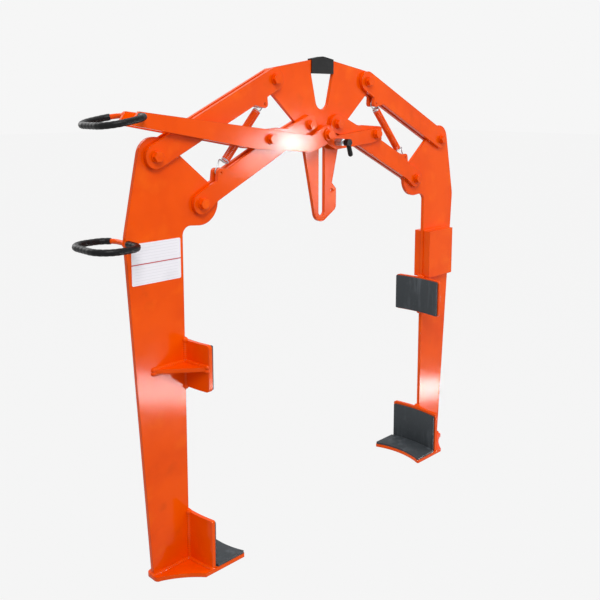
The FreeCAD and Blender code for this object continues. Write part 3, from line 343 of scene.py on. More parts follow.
@dataclass(frozen=True)
class ZincPlate:
    """Bright zinc plating on turned steel and spring wire.

    It gives the eye a cloudy grey metal with blurred reflections. Its turning marks are drawn coarser than
    real ones, at 0.9 mm, so that they show in a near view.
    """

    name: str
    colour: str = "#C3C6C9"
    dull: str = "#8F9498"
    clouds: Blotches = Blotches(7.0, 5.0, 0.35, 0.7)
    gloss: Blotches = Blotches(4.0, 4.0, 0.3, 0.7, 0.36, 0.52)
    marks: Blotches = Blotches(0.9, 1.0)
    mark_depth_mm: float = 0.1

    def material(self) -> Material:
        """Metal with cloudy plating and fine turning marks.

        Returns:
            The material.
        """
        material = bpy.data.materials.new(self.name)
        tree = clean_tree(material)
        plating = add_node(tree, "MixRGB", {"Color1": linear(self.colour), "Color2": linear(self.dull)},
                           {"Fac": self.clouds.lay(tree)})
        turned = add_node(tree, "Bump", {"Strength": 0.1, "Distance": self.mark_depth_mm * MM},
                          {"Height": self.marks.lay(tree)})
        end_in_shader(tree, {"Metallic": 1.0},
                      {"Base Color": plating, "Roughness": self.gloss.lay(tree), "Normal": turned})
        return material


@dataclass(frozen=True)
class LabelVinyl:
    """Printed vinyl film on the left arm.

    It gives the eye a smooth cool white with pale ruled lines and faint stains.
    """

    name: str
    colour: str
    rule: str
    row_mm: float = 5.6
    middle_mm: float = -451.6
    ruled_half_mm: float = 48.5
    stains: Blotches = Blotches(40.0, 3.0, 0.5, 0.75, 0.0, 0.25)
    gloss: Blotches = Blotches(12.0, 3.0, 0.3, 0.7, 0.3, 0.42)

    def material(self) -> Material:
        """Film ruled into rows along Z, with a bare margin at both ends.

        Returns:
            The material.
        """
        material = bpy.data.materials.new(self.name)
        tree = clean_tree(material)
        place = add_node(tree, "TexCoord")
        parts = add_node(tree, "SeparateXYZ", links={"Vector": place.outputs["Object"]})
        rows = add_node(tree, "Math", {"operation": "MULTIPLY", 1: per_metre(self.row_mm)},
                        {0: parts.outputs["Z"]})
        share = add_node(tree, "Math", {"operation": "FRACT"}, {0: rows})
        # The last tenth of each row is its rule
        line = add_node(tree, "MapRange", {"From Min": 0.9, "From Max": 0.91, "To Max": 0.5},
                        {"Value": share})
        inside = add_node(tree, "Math",
                          {"operation": "COMPARE", 1: self.middle_mm * MM, 2: self.ruled_half_mm * MM},
                          {0: parts.outputs["X"]})
        ruled = add_node(tree, "Math", {"operation": "MULTIPLY"}, {0: line, 1: inside})
        film = add_node(tree, "MixRGB", {"Color1": linear(self.colour), "Color2": linear(self.rule)},
                        {"Fac": ruled})
        film = add_node(tree, "MixRGB", {"Color2": linear(self.rule)},
                        {"Fac": self.stains.lay(tree), "Color1": film})
        end_in_shader(tree, {"IOR": 1.46}, {"Base Color": film, "Roughness": self.gloss.lay(tree)})
        return material


class Finishes:
    """All finishes, each made once."""

    def __init__(self) -> None:
        """Make the materials."""
        self.paint = Enamel("orange_enamel").material()
        self.bolt_paint = Enamel(
            "orange_enamel_on_bolts", clouds=Blotches(30.0, 3.0, 0.35, 0.6),
            heavy=Blotches(13.5, 3.0, 0.56, 0.75, 0.0, 0.55), peel=Blotches(1.8, 1.0), edge_mm=0.9).material()
        self.rubber = SheetRubber("sbr_sheet_rubber").material()
        self.grip = Moulded("black_dipped_pvc", "#0B0B0D", "#18181A",
                            Blotches(9.0, 3.0, 0.3, 0.7, 0.33, 0.47), Blotches(1.5, 2.0),
                            grain_strength=0.12).material()
        self.sleeve = Moulded("black_hose_sleeve", "#0F0F10", "#201F1E",
                              Blotches(9.0, 3.0, 0.3, 0.7, 0.43, 0.57), Blotches(2.0, 2.0),
                              grain_strength=0.2).material()
        self.handle = Moulded("black_glass_filled_polyamide", "#101011", "#1E1F21",
                              Blotches(9.0, 3.0, 0.3, 0.7, 0.35, 0.49), Blotches(0.8, 2.0),
                              grain_strength=0.2).material()
        self.zinc = ZincPlate("bright_zinc_plate").material()
        self.vinyl = LabelVinyl("white_label_vinyl", "#ECEAF0", "#B9B8C0").material()
        self.red_ink = LabelVinyl("red_printed_band", "#B5303A", "#A02A35").material()

    def by_slot(self) -> dict[str, Material]:
        """Finish of each of the record's material slots."""
        return {
            "orange_paint": self.paint, "painted_bolts": self.bolt_paint, "pad_rubber": self.rubber,
            "grip_rubber": self.grip, "sleeve_black": self.sleeve, "handle_plastic": self.handle,
            "zinc_steel": self.zinc,
        }


# Modelling helpers

def clear_selection() -> None:
    """Deselect every object."""
    bpy.ops.object.select_all(action="DESELECT")


def select_only(piece: Piece) -> None:
    """Select one piece alone and make it active.

    Args:
        piece: The piece.
    """
    clear_selection()
    bpy.context.view_layer.objects.active = piece
    piece.select_set(True)


def added(name: str) -> Piece:
    """Name the primitive that was just added and put its place into its mesh.

    Args:
        name: Name of the piece.

    Returns:
        The piece, at the origin and unscaled.
    """
    piece = bpy.context.object
    piece.name = name
    piece.data.name = name
    bpy.ops.object.transform_apply(location=True, rotation=True, scale=True)
    return piece


@contextmanager
def editing(piece: Piece) -> Iterator[None]:
    """Edit mode on one piece alone.

    Args:
        piece: The piece to edit.

    Returns:
        A context that ends in object mode.
    """
    select_only(piece)
    bpy.ops.object.mode_set(mode="EDIT")
    try:
        yield
    finally:
        bpy.ops.object.mode_set(mode="OBJECT")


def near(place: float, *sizes: float) -> bool:
    """Whether a place in metres is one of some sizes in millimetres."""
    return min(abs(place - size * MM) for size in sizes) < NEAR


def choose_edges(test: Callable[[Vector], bool]) -> None:
    """Select the edges that lie where a test says, in the mesh that is being edited.

    Args:
        test: True for the middle of an edge to select.
    """
    bpy.ops.mesh.select_mode(type="EDGE")
    bpy.ops.mesh.select_all(action="DESELECT")
    data = bpy.context.edit_object.data
    mesh = bmesh.from_edit_mesh(data)
    for edge in mesh.edges:
        first, last = edge.verts
        if test((first.co + last.co) / 2):
            edge.select_set(True)
    mesh.select_flush_mode()
    bmesh.update_edit_mesh(data)


def apply_modifier(piece: Piece, kind: str, **settings: object) -> None:
    """Add a modifier with its settings and apply it.

    Args:
        piece: The piece that gets it.
        kind: Blender's name of the modifier type.
        **settings: Its properties by name.
    """
    select_only(piece)
    modifier = piece.modifiers.new(kind.lower(), kind)
    for key, value in settings.items():
        setattr(modifier, key, value)
    bpy.ops.object.modifier_apply(modifier=modifier.name)


def cut_with(piece: Piece, cut: Cut, centre: Vector, radius: float, height: float,
             sides: int = 256) -> None:
    """Cut a piece with an upright cylinder.

    Args:
        piece: Mesh to cut.
        cut: What the cylinder does.
        centre: Middle of the cylinder in metres.
        radius: Its radius in millimetres.
        height: Its height in millimetres.
        sides: Number of its flat sides.
    """
    clear_selection()
    bpy.ops.mesh.primitive_cylinder_add(vertices=sides, radius=radius * MM, depth=height * MM,
                                        location=centre)
    tool = added("cutter")
    apply_modifier(piece, "BOOLEAN", object=tool, operation=cut.value, solver="EXACT")
    bpy.data.objects.remove(tool, do_unlink=True)


def joined(pieces: list[Piece], name: str) -> Piece:
    """Join pieces into one object.

    Args:
        pieces: The pieces.
        name: Name of the whole.

    Returns:
        The one object.
    """
    clear_selection()
    for piece in pieces:
        piece.select_set(True)
    bpy.context.view_layer.objects.active = pieces[0]
    bpy.ops.object.join()
    pieces[0].name = name
    pieces[0].data.name = name
    return pieces[0]


def smooth(piece: Piece, degrees: float) -> None:
    """Shade smooth apart from edges sharper than an angle."""
    select_only(piece)
    bpy.ops.object.shade_smooth_by_angle(angle=math.radians(degrees))


def wire(name: str, points: list[Vector], sizes: list[float], resolution: int, caps: bool) -> Piece:
    """Round wire or tube along points.

    Args:
        name: Name of the piece.
        points: Points along the middle line.
        sizes: Radius in metres at each point.
        resolution: Blender's bevel resolution.
        caps: True to close the ends.

    Returns:
        The wire as a mesh.
    """
    clear_selection()
    bpy.ops.curve.primitive_nurbs_path_add()
    curve = bpy.context.object
    curve.data.splines.clear()
    spline = curve.data.splines.new("POLY")
    spline.points.add(len(points) - 1)
    for spot, at, size in zip(spline.points, points, sizes):
        spot.co = (*at, 1.0)
        spot.radius = size
    curve.data.bevel_depth = 1.0
    curve.data.bevel_resolution = resolution
    curve.data.use_fill_caps = caps
    bpy.ops.object.convert(target="MESH")
    return added(name)


def weld_row(first: Vector, last: Vector, throat: float, ripple: float) -> Piece:
    """Straight weld bead as a row of overlapping ripples.

    Args:
        first: One end of the seam in metres.
        last: Its other end.
        throat: Half thickness of the bead in millimetres.
        ripple: Step between ripples in millimetres.

    Returns:
        The bead.
    """
    along = (last - first).normalized()
    clear_selection()
    bpy.ops.mesh.primitive_uv_sphere_add(segments=12, ring_count=8, radius=throat * MM, location=first,
                                         rotation=along.to_track_quat("Z", "Y").to_euler())
    bead = added("bead")
    count = max(2, round((last - first).length / (ripple * MM)) + 1)
    step = (last - first) / (count - 1)
    apply_modifier(bead, "ARRAY", count=count, use_relative_offset=False, use_constant_offset=True,
                   constant_offset_displace=step)
    return bead


def finish_piece(piece: Piece, material: Material, body: str) -> None:
    """Give a piece its finish and the body that it rides on, and report it.

    Args:
        piece: The finished mesh.
        material: Its material.
        body: CAD body that carries it.
    """
    piece.data.materials.clear()
    piece.data.materials.append(material)
    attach(piece, body)
    LOG.info("%s: %d faces on %s", piece.name, len(piece.data.polygons), body)


def finish_bead(bead: Piece, paint: Material, body: str) -> None:
    """Smooth and paint a weld bead that rides on a body."""
    smooth(bead, degrees=80)
    finish_piece(bead, paint, body)


# Sub-assemblies

@dataclass
class Steelwork:
    """CAD nodes that stay as they are and get their finish."""

    finishes: Finishes

    def dress(self) -> None:
        """Give each CAD node the material of its slot."""
        slots = {row["node"]: row["material_slot"] for row in frame["record"]["subparts"]}
        by_slot = self.finishes.by_slot()
        for name, node in frame["nodes"].items():
            node.data.materials.clear()
            node.data.materials.append(by_slot[slots[name]])
            LOG.info("%s: %s", name, slots[name])


@dataclass
class JawRubber:
    """Rubber sheets on the saddles and the foot shelf of one arm, sizes in millimetres."""

    side: Side
    finishes: Finishes
    axis_x: float = 76.096
    back_radius: float = 305.95
    thickness: float = 5.5
    half_width: float = 66.5
    blank_front: float = 20.0
    blank_rear: float = 5.0
    upper: Span = (-620.354, -530.354)
    lower: Span = (-992.804, -896.854)
    upper_corner: float = 2.5
    lower_corner: float = 3.5
    shelf_bottom: float = -992.854
    shelf_thickness: float = 5.0
    shelf_half: float = 71.2
    shelf_inner: float = 298.896
    shelf_hollow: float = 170.8
    shelf_bite: float = 0.3
    shelf_corner: float = 3.5
    shelf_back: float = 300.4
    saddle_cutter: float = 300.0
    shelf_cutter: float = 50.0
    corner_steps: int = 8
    soft_edge: float = 0.9
    soft_steps: int = 3
    soft_angle: float = 40.0

    def block(self, name: str, low: Point, high: Point) -> Piece:
        """Block between two opposite corners given for the right side.

        Args:
            name: Name of the block.
            low: Its lowest corner.
            high: Its highest corner.

        Returns:
            The block.
        """
        middle = [(first + last) / 2 for first, last in zip(low, high)]
        clear_selection()
        bpy.ops.mesh.primitive_cube_add(size=1.0, location=self.side.at(*middle))
        bpy.context.object.scale = [(last - first) * MM for first, last in zip(low, high)]
        return added(name)

    def saddle_sheet(self, name: str, ends: Span, rounded: tuple[float, ...], corner: float) -> Piece:
        """One curved sheet: a blank with rounded corners, cut to the part of a ring about the load's axis.

        Args:
            name: Name of the piece.
            ends: Heights of its lower and upper edge.
            rounded: Heights of the edges whose corners are rounded.
            corner: Radius of those corners.

        Returns:
            The sheet.
        """
        back = self.axis_x + self.back_radius
        bottom, top = ends
        sheet = self.block(name, (back - self.blank_front, -self.half_width, bottom),
                           (back + self.blank_rear, self.half_width, top))
        with editing(sheet):
            choose_edges(lambda at: near(abs(at.y), self.half_width) and near(at.z, *rounded))
            bpy.ops.mesh.bevel(offset=corner * MM, segments=self.corner_steps, affect="EDGES")
        hub = self.side.at(self.axis_x, 0, (bottom + top) / 2)
        cut_with(sheet, Cut.KEEP_INSIDE, hub, self.back_radius, self.saddle_cutter)
        cut_with(sheet, Cut.TAKE_AWAY, hub, self.back_radius - self.thickness, self.saddle_cutter)
        return sheet

    def shelf_sheet(self) -> Piece:
        """Flat sheet on the shelf, cut hollow at its inner edge and round along the rubber of the saddle.

        Returns:
            The sheet.
        """
        bottom, top = self.shelf_bottom, self.shelf_bottom + self.shelf_thickness
        inner = self.shelf_inner
        sheet = self.block(f"{self.side.word}_shelf_rubber", (inner, -self.shelf_half, bottom),
                           (self.axis_x + self.back_radius, self.shelf_half, top))
        with editing(sheet):
            choose_edges(lambda at: near(abs(at.x), inner) and near(abs(at.y), self.shelf_half))
            bpy.ops.mesh.bevel(offset=self.shelf_corner * MM, segments=self.corner_steps, affect="EDGES")
        chord = self.shelf_half - self.shelf_corner
        hollow_x = inner + self.shelf_bite - math.sqrt(self.shelf_hollow ** 2 - chord ** 2)
        hollow = self.side.at(hollow_x, 0, bottom)
        cut_with(sheet, Cut.TAKE_AWAY, hollow, self.shelf_hollow, self.shelf_cutter)
        hub = self.side.at(self.axis_x, 0, bottom)
        cut_with(sheet, Cut.KEEP_INSIDE, hub, self.shelf_back, self.shelf_cutter)
        return sheet

    def build(self) -> None:
        """Build and dress the three sheets."""
        upper = self.saddle_sheet("upper", self.upper, self.upper, self.upper_corner)
        lower = self.saddle_sheet("lower", self.lower, self.lower[1:], self.lower_corner)
        saddles = joined([upper, lower], f"{self.side.word}_saddle_rubber")
        shelf = self.shelf_sheet()
        for sheet, place in ((saddles, "saddle_pads"), (shelf, "shelf_pad")):
            apply_modifier(sheet, "BEVEL", width=self.soft_edge * MM, segments=self.soft_steps,
                           limit_method="ANGLE", angle_limit=math.radians(self.soft_angle))
            smooth(sheet, degrees=45)
            finish_piece(sheet, self.finishes.rubber, f"{self.side.word}_arm")
            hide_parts(f"{self.side.word}_{place}")


@dataclass
class LoopGrip:
    """Knobbly black grip drawn over a loop handle from its front stub, sizes in millimetres.

    In degrees are tilt, the fall of the loop, and reach, the angle on the rear bend where the grip ends.
    """

    name: str
    node: str
    body: str
    stub: Point
    face: float
    tilt: float
    reach: float
    finishes: Finishes
    length: float = 87.0
    half_width: float = 58.0
    inner_bend: float = 31.5
    outer_bend: float = 38.5
    outer_radius: float = 6.5
    bore_radius: float = 5.05
    valley: float = 0.95
    knob: float = 11.0
    crest: float = 0.6
    step: float = 1.4
    arc_parts: int = 30
    roundness: int = 4
    end_search: float = 1.1

    def bend(self, x: float, y: float, radius: float, start: float, end: float) -> list[Vector]:
        """Points along an arc in the plane of the loop.

        Args:
            x: X of its centre.
            y: Y of its centre.
            radius: Its radius.
            start: First angle in degrees.
            end: Last angle in degrees.

        Returns:
            The points, both ends included.
        """
        points = []
        for part in range(self.arc_parts + 1):
            angle = math.radians(start + (end - start) * part / self.arc_parts)
            points.append(Vector((x + radius * math.cos(angle), y + radius * math.sin(angle), 0)))
        return points

    def plan(self) -> list[Vector]:
        """Middle line in the plane of the loop, from the rear bend to the front stub.

        Returns:
            Points in even steps.
        """
        far = -(self.length - self.outer_bend)
        inner = self.half_width - self.inner_bend
        outer = self.half_width - self.outer_bend
        corners = self.bend(-self.inner_bend, inner, self.inner_bend, self.reach, 90)
        corners += self.bend(far, outer, self.outer_bend, 90, 180)
        corners += self.bend(far, -outer, self.outer_bend, 180, 270)
        corners += self.bend(-self.inner_bend, -inner, self.inner_bend, 270, 360)
        corners.append(Vector((0, -self.face, 0)))
        points = [corners[0]]
        left = self.step
        for first, last in zip(corners, corners[1:]):
            span = (last - first).length
            while left < span:
                points.append(first.lerp(last, left / span))
                left += self.step
            left -= span
        return points

    def build(self) -> None:
        """Tube of knobs round the bar."""
        fall = math.radians(self.tilt)
        spots = []
        sizes = []
        for index, at in enumerate(self.plan()):
            lowered = Vector((at.x * math.cos(fall), at.y, at.x * math.sin(fall)))
            spots.append((Vector(self.stub) + lowered) * MM)
            wave = (1 - math.cos(math.tau * index * self.step / self.knob)) / 2
            sizes.append(self.outer_radius * MM * (self.valley + (1 - self.valley) * wave ** self.crest))
        skin = wire(self.name, spots, sizes, self.roundness, caps=False)
        bore = wire("bore", spots, [self.bore_radius * MM] * len(spots), self.roundness, caps=False)
        grip = joined([skin, bore], self.name)
        with editing(grip):
            for end in (spots[0], spots[-1]):
                choose_edges(lambda at: (at - end).length < self.outer_radius * self.end_search * MM)
                self.keep_open_edges()
                bpy.ops.mesh.bridge_edge_loops()
            bpy.ops.mesh.select_all(action="SELECT")
            bpy.ops.mesh.normals_make_consistent(inside=False)
        smooth(grip, degrees=60)
        finish_piece(grip, self.finishes.grip, self.body)
        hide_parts(self.node)

    def keep_open_edges(self) -> None:
        """Leave only open edges selected."""
        data = bpy.context.edit_object.data
        mesh = bmesh.from_edit_mesh(data)
        for edge in mesh.edges:
            if edge.select and not edge.is_boundary:
                edge.select_set(False)
        # Letting an edge go also lets its corners go, so what stays is selected once more
        for edge in mesh.edges:
            if edge.select:
                edge.select_set(True)
        bmesh.update_edit_mesh(data)


@dataclass
class TensionSpring:
    """Spring of one side as one wire from hook to hook, sizes in millimetres for the right side."""

    side: Side
    finishes: Finishes
    upper_pin: Span = (180.024, -66.359)
    lower_pin: Span = (298.118, -201.463)
    radius: float = 7.6
    gauge: float = 2.8
    turns: int = 38
    upper_gap: float = 2.9
    upper_reach: float = 15.0
    lower_gap: float = 2.4
    lower_reach: float = 25.3
    bright_end: float = 2.5
    per_turn: int = 20
    bow_steps: int = 12
    bow_pull: float = 0.6
    loop_steps: int = 27
    loop_degrees: float = 10.0

    def axes(self) -> tuple[Vector, Vector, Vector, Vector, Vector]:
        """Place of the coil and its directions.

        Returns:
            Lower and upper end of the coil's axis, then the directions along it, across the links and
            sideways.
        """
        top = self.side.at(self.upper_pin[0], 0, self.upper_pin[1])
        bottom = self.side.at(self.lower_pin[0], 0, self.lower_pin[1])
        along = (top - bottom).normalized()
        across = Vector((0, -self.side.value, 0))
        coil_top = top - along * (self.upper_gap + self.upper_reach) * MM
        coil_bottom = bottom + along * (self.lower_gap + self.lower_reach) * MM
        return coil_bottom, coil_top, along, across, along.cross(across)

    def hook(self, start: Vector, heading: Vector, centre: Vector, sideways: Vector,
             outward: Vector) -> list[Vector]:
        """Points of a hook that leaves the coil in a bow and closes round a pin.

        Args:
            start: Last point of the coil.
            heading: Direction of the wire there.
            centre: Middle of the loop.
            sideways: Direction away from the side where the wire enters the loop.
            outward: Direction away from the coil.

        Returns:
            Points after the start.
        """
        reach = self.radius * MM
        entry = centre - sideways * reach
        bow = (entry - start).length
        pull = heading.normalized() * bow * self.bow_pull
        push = outward * bow * self.bow_pull
        points = []
        for step in range(1, self.bow_steps + 1):
            share = step / self.bow_steps
            points.append(start * (1 - share) ** 3 + (start + pull) * (3 * share * (1 - share) ** 2)
                          + (entry - push) * (3 * share ** 2 * (1 - share)) + entry * share ** 3)
        for step in range(1, self.loop_steps + 1):
            angle = math.radians(self.loop_degrees * step)
            points.append(centre + (outward * math.sin(angle) - sideways * math.cos(angle)) * reach)
        return points

    def path(self) -> list[Vector]:
        """Middle line of the wire.

        Returns:
            Points from the lower hook's tip to the upper hook's tip.
        """
        bottom, top, along, across, sideways = self.axes()
        reach = self.radius * MM
        count = self.turns * self.per_turn
        coil = []
        for step in range(count + 1):
            angle = math.tau * step / self.per_turn
            around = (across * math.cos(angle) - sideways * math.sin(angle)) * reach
            coil.append(bottom.lerp(top, step / count) + around)
        pitch = (top - bottom).length / self.turns
        heading = sideways * (-math.tau * reach) + along * pitch
        upper = self.hook(coil[-1], heading, top + along * self.upper_reach * MM, sideways, along)
        lower = self.hook(coil[0], -heading, bottom - along * self.lower_reach * MM, -sideways, -along)
        return lower[::-1] + coil + upper

    def build(self) -> None:
        """Sweep the wire, paint the coil and leave the hooks bright."""
        points = self.path()
        sizes = [self.gauge / 2 * MM] * len(points)
        spring = wire(f"{self.side.word}_tension_spring", points, sizes, resolution=2, caps=True)
        smooth(spring, degrees=60)
        bottom, top, along, _, _ = self.axes()
        spring.data.materials.clear()
        spring.data.materials.append(self.finishes.bolt_paint)
        spring.data.materials.append(self.finishes.zinc)
        length = (top - bottom).length
        margin = self.bright_end * MM
        for face in spring.data.polygons:
            height = (face.center - bottom).dot(along)
            face.material_index = 0 if margin < height < length - margin else 1
        f"{self.side.word}_spring"
        f"{self.side.word}_spring_end"
        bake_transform(spring)
        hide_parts(f"{self.side.word}_spring_coil", f"{self.side.word}_spring_hook")
        LOG.info("%s: %d faces", spring.name, len(spring.data.polygons))


@dataclass
class HandleWelds:
    """Round bead where the bare rear stub of a loop handle meets its plate, sizes in millimetres."""

    name: str
    body: str
    stub: Point
    face: float
    finishes: Finishes
    ring_radius: float = 5.6
    throat: float = 2.4
    ring_steps: int = 28
    bead_steps: int = 10

    def build(self) -> None:
        """Bead round the stub that the grip leaves open."""
        clear_selection()
        place = Vector(self.stub) + Vector((0, self.face, 0))
        bpy.ops.mesh.primitive_torus_add(
            location=place * MM, rotation=(math.pi / 2, 0, 0), major_segments=self.ring_steps,
            minor_segments=self.bead_steps, major_radius=self.ring_radius * MM, minor_radius=self.throat * MM)
        finish_bead(added(self.name), self.finishes.paint, self.body)


@dataclass
class BlockWelds:
    """Beads along the upper and lower edges of the counterweight blocks, sizes in millimetres."""

    finishes: Finishes
    left: float = 396.0
    right: float = 494.0
    heights: Span = (-527.854, -402.854)
    face: float = 4.0
    throat: float = 3.4
    ripple: float = 3.4

    def build(self) -> None:
        """Four beads on the right arm."""
        beads = []
        for y in (-self.face, self.face):
            for z in self.heights:
                start = Vector((self.left, y, z)) * MM
                end = Vector((self.right, y, z)) * MM
                beads.append(weld_row(start, end, self.throat, self.ripple))
        finish_bead(joined(beads, "block_welds"), self.finishes.paint, "right_arm")


@dataclass
class Welds:
    """Painted fillet welds of one arm, as rows of overlapping ripples, sizes in millimetres."""

    side: Side
    finishes: Finishes
    edge_x: float = 390.096
    axis_x: float = 76.096
    back_radius: float = 314.0
    face: float = 4.0
    shelf: float = -992.854
    upper_saddle: Span = (-622.854, -527.854)
    lower_saddle_top: float = -890.854
    gusset: Span = (-579.354, -571.354)
    gusset_end_x: float = 468.096
    gusset_half: float = 68.0
    saddle_half: float = 70.0
    foot_end_x: float = 478.096
    inset: float = 3.0
    tip_inset: float = 2.0
    back_runs: int = 4
    throat: float = 5.0
    end_throat: float = 6.4
    ripple: float = 4.2

    def row(self, start: Point, end: Point) -> Piece:
        """Straight row of ripples between two points given for the right side."""
        return weld_row(self.side.at(*start), self.side.at(*end), self.throat, self.ripple)

    def cap(self, z: float) -> Piece:
        """Thick bead across the arm's edge at the end of a saddle."""
        start = self.side.at(self.edge_x, -self.face, z)
        return weld_row(start, self.side.at(self.edge_x, self.face, z), self.end_throat, self.ripple)

    def back_at(self, y: float) -> float:
        """X of the back of the saddles at a distance from the middle plane."""
        return self.axis_x + math.sqrt(self.back_radius ** 2 - y * y)

    def along_back(self, y_start: float, y_end: float, z: float) -> list[Piece]:
        """Row in short straight runs along the curved back of a saddle.

        Args:
            y_start: Y of its first end.
            y_end: Y of its last end.
            z: Its height.

        Returns:
            The runs.
        """
        rows = []
        for run in range(self.back_runs):
            first, last = (y_start + (y_end - y_start) * share / self.back_runs for share in (run, run + 1))
            rows.append(self.row((self.back_at(first), first, z), (self.back_at(last), last, z)))
        return rows

    def build(self) -> None:
        """All seams of the jaw on this arm."""
        beads = []
        edge, foot, shelf = self.edge_x, self.foot_end_x, self.shelf
        saddle_low, saddle_high = self.upper_saddle
        low, high = self.gusset
        for near_side in (-1, 1):
            y = near_side * self.face
            beads.append(self.row((edge, y, saddle_low + self.inset), (edge, y, low)))
            beads.append(self.row((edge, y, high), (edge, y, saddle_high - self.inset)))
            beads.append(self.row((edge, y, shelf), (edge, y, self.lower_saddle_top - self.inset)))
            beads.append(self.row((edge, y, shelf), (foot, y, shelf)))
            for z in self.gusset:
                beads.append(self.row((edge, y, z), (self.gusset_end_x - self.tip_inset, y, z)))
                beads += self.along_back(y, near_side * (self.gusset_half - self.inset), z)
            beads += self.along_back(y, near_side * (self.saddle_half - self.inset), shelf)
        beads.append(self.row((foot, -self.face, shelf), (foot, self.face, shelf)))
        beads += [self.cap(z) for z in (*self.upper_saddle, self.lower_saddle_top)]
        welds = joined(beads, f"{self.side.word}_jaw_welds")
        finish_bead(welds, self.finishes.paint, f"{self.side.word}_arm")


@dataclass
class RatingLabel:
    """Blank white rating label with a red band on the left arm, sizes in millimetres."""

    finishes: Finishes
    left: float = -507.1
    right: float = -396.1
    bottom: float = -401.0
    top: float = -321.5
    band: Span = (-362.6, -360.4)
    arm_face: float = -4.0
    film: float = 0.3
    corner: float = 3.0
    corner_steps: int = 4

    def build(self) -> None:
        """Thin film with rounded corners, split into white fields and the band between them."""
        size = Vector((self.right - self.left, self.film, self.top - self.bottom))
        middle = Vector((self.left + self.right, 2 * self.arm_face - self.film, self.bottom + self.top)) / 2
        clear_selection()
        bpy.ops.mesh.primitive_cube_add(size=1.0, location=middle * MM)
        bpy.context.object.scale = size * MM
        label = added("rating_label")
        low, high = self.band
        with editing(label):
            choose_edges(lambda at: near(at.x, self.left, self.right) and near(at.z, self.bottom, self.top))
            bpy.ops.mesh.bevel(offset=self.corner * MM, segments=self.corner_steps, affect="EDGES")
            for height in (low, high):
                bpy.ops.mesh.select_all(action="SELECT")
                bpy.ops.mesh.bisect(plane_co=(0, 0, height * MM), plane_no=(0, 0, 1))
        finish_piece(label, self.finishes.vinyl, "left_arm")
        label.data.materials.append(self.finishes.red_ink)
        for face in label.data.polygons:
            if low < face.center.z / MM < high:
                face.material_index = 1


# Stage

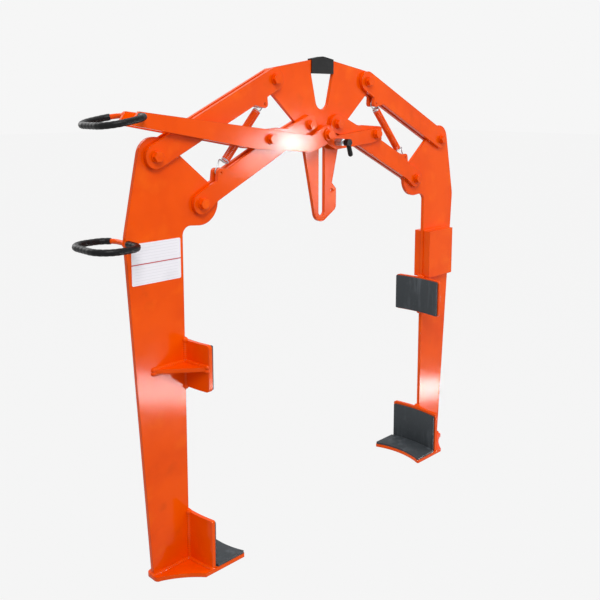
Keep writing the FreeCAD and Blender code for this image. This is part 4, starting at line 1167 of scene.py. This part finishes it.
@dataclass
class Studio:
    """Pale floor under the hanging tongs, white surround and soft lamps, sizes in metres."""

    floor_z: float = -1.5
    floor_size: float = 60.0
    floor_grey: str = "#B4B4B4"
    floor_glow: float = 0.98
    pale: str = "#F6F6F6"
    sky: str = "#FFFFFF"
    sky_strength: float = 0.5
    middle: Point = (0.0, 0.0, -0.4)

    def seen(self, tree: Tree) -> Node:
        """Mask of what the camera sees, straight or in a reflection.

        Args:
            tree: Tree that gets the nodes.

        Returns:
            Node whose output is 1 there and 0 elsewhere.
        """
        path = add_node(tree, "LightPath")
        glossy = add_node(tree, "Math", {"operation": "MAXIMUM"},
                          {0: path.outputs["Is Camera Ray"], 1: path.outputs["Is Glossy Ray"]})
        return add_node(tree, "Math", {"operation": "MAXIMUM"},
                        {0: glossy, 1: path.outputs["Is Transmission Ray"]})

    def floor(self) -> None:
        """Wide floor that glows softly for the camera and keeps a shadow."""
        clear_selection()
        bpy.ops.mesh.primitive_plane_add(size=self.floor_size, location=(0, 0, self.floor_z))
        plane = added("floor")
        material = bpy.data.materials.new("pale_floor")
        tree = clean_tree(material)
        matt = add_node(tree, "BsdfDiffuse", {"Color": linear(self.floor_grey)})
        glow = add_node(tree, "Emission", {"Color": linear(self.pale), "Strength": 1.0})
        share = add_node(tree, "Math", {"operation": "MULTIPLY", 1: self.floor_glow}, {0: self.seen(tree)})
        mixed = add_node(tree, "MixShader", links={0: share, 1: matt, 2: glow})
        add_node(tree, "OutputMaterial", links={"Surface": mixed})
        plane.data.materials.append(material)

    def surround(self) -> None:
        """World that lights evenly and looks pale."""
        world = bpy.data.worlds.new("surround")
        bpy.context.scene.world = world
        tree = clean_tree(world)
        light = add_node(tree, "Background", {"Color": linear(self.sky), "Strength": self.sky_strength})
        look = add_node(tree, "Background", {"Color": linear(self.pale), "Strength": 1.0})
        mixed = add_node(tree, "MixShader", links={0: self.seen(tree), 1: light, 2: look})
        add_node(tree, "OutputWorld", links={"Surface": mixed})

    def lamp(self, name: str, at: Point, target: Point, size: float, watts: float) -> bpy.types.Object:
        """Square soft lamp turned to a point.

        Args:
            name: Name of the lamp.
            at: Its place.
            target: Point that it faces.
            size: Its side.
            watts: Its power.

        Returns:
            The lamp.
        """
        data = bpy.data.lights.new(name, "AREA")
        data.size = size
        data.energy = watts
        lamp = bpy.data.objects.new(name, data)
        bpy.context.scene.collection.objects.link(lamp)
        lamp.location = at
        lamp.rotation_euler = (Vector(target) - Vector(at)).to_track_quat("-Z", "Y").to_euler()
        return lamp

    def glare(self, name: str, at: Point, sides: Span, watts: float, roll: float = 0.0) -> None:
        """Long lamp facing along Y that shows only as a reflection in glossy surfaces.

        Args:
            name: Name of the lamp.
            at: Its place.
            sides: Its length and height.
            watts: Its power.
            roll: Turn in degrees about the way it faces.
        """
        lamp = self.lamp(name, at, (at[0], 0.0, at[2]), sides[0], watts)
        lamp.data.shape = "RECTANGLE"
        lamp.data.size_y = sides[1]
        lamp.rotation_euler.rotate_axis("Z", math.radians(roll))
        lamp.visible_camera = False
        lamp.visible_diffuse = False

    def build(self) -> None:
        """Floor, surround and lamps."""
        self.floor()
        self.surround()
        self.lamp("key", (-1.4, -2.2, 2.2), self.middle, size=1.6, watts=76.0)
        fill = self.lamp("fill", (2.4, -2.0, 0.6), self.middle, size=2.0, watts=38.0)
        # Seen in the paint, the fill would turn the plates pink
        fill.visible_glossy = False
        self.lamp("top", (0.3, 0.6, 2.6), self.middle, size=2.0, watts=22.0)
        self.lamp("rear", (-0.6, 2.6, 1.0), self.middle, size=2.0, watts=30.0)
        self.glare("low_window", (0.87, -0.9, -1.215), sides=(2.0, 0.1), watts=22.0, roll=-15.0)
        self.glare("lever_window", (1.64, -1.83, -0.285), sides=(0.24, 0.12), watts=11.0)
        self.glare("link_window", (1.42, -1.83, -0.35), sides=(0.22, 0.2), watts=3.4)
        self.glare("tongue_window", (1.88, -1.83, -0.56), sides=(0.36, 0.3), watts=2.6)


@dataclass
class PhotoCamera:
    """Camera at the photograph's place, fitted to the pivots and the jaws."""

    at: Point = (-1.2807, -1.2263, -0.0556)
    yaw: float = 44.744
    pitch: float = 8.104
    lens: float = 46.87
    sensor: float = 36.0
    rise: float = -0.15

    def build(self) -> None:
        """Make the scene's camera."""
        data = bpy.data.cameras.new("photo_camera")
        data.lens = self.lens
        data.sensor_width = self.sensor
        data.shift_y = self.rise
        camera = bpy.data.objects.new("photo_camera", data)
        bpy.context.scene.collection.objects.link(camera)
        yaw, pitch = math.radians(self.yaw), math.radians(self.pitch)
        level = math.cos(pitch)
        forward = Vector((math.sin(yaw) * level, math.cos(yaw) * level, -math.sin(pitch)))
        camera.location = self.at
        camera.rotation_euler = forward.to_track_quat("-Z", "Y").to_euler()
        bpy.context.scene.camera = camera


def main() -> None:
    """Dress the frame, build the new pieces and set the stage."""
    logging.basicConfig(level=logging.INFO, format="%(message)s")
    bpy.context.scene.view_settings.view_transform = "Standard"
    finishes = Finishes()
    Steelwork(finishes).dress()
    for side in Side:
        JawRubber(side, finishes).build()
        TensionSpring(side, finishes).build()
        Welds(side, finishes).build()
    LoopGrip("arm_loop_grip", "arm_handle_grip", "left_arm", ARM_STUB, face=4.4, tilt=0.0, reach=35.0,
             finishes=finishes).build()
    LoopGrip("lever_loop_grip", "lever_handle_grip", "lever", LEVER_STUB, face=25.6, tilt=10.5, reach=57.0,
             finishes=finishes).build()
    HandleWelds("arm_handle_welds", "left_arm", ARM_STUB, face=4.0, finishes=finishes).build()
    HandleWelds("lever_handle_welds", "lever", LEVER_STUB, face=25.2, finishes=finishes).build()
    BlockWelds(finishes).build()
    RatingLabel(finishes).build()
    Studio().build()
    PhotoCamera().build()


if __name__ == "__main__":
    main()
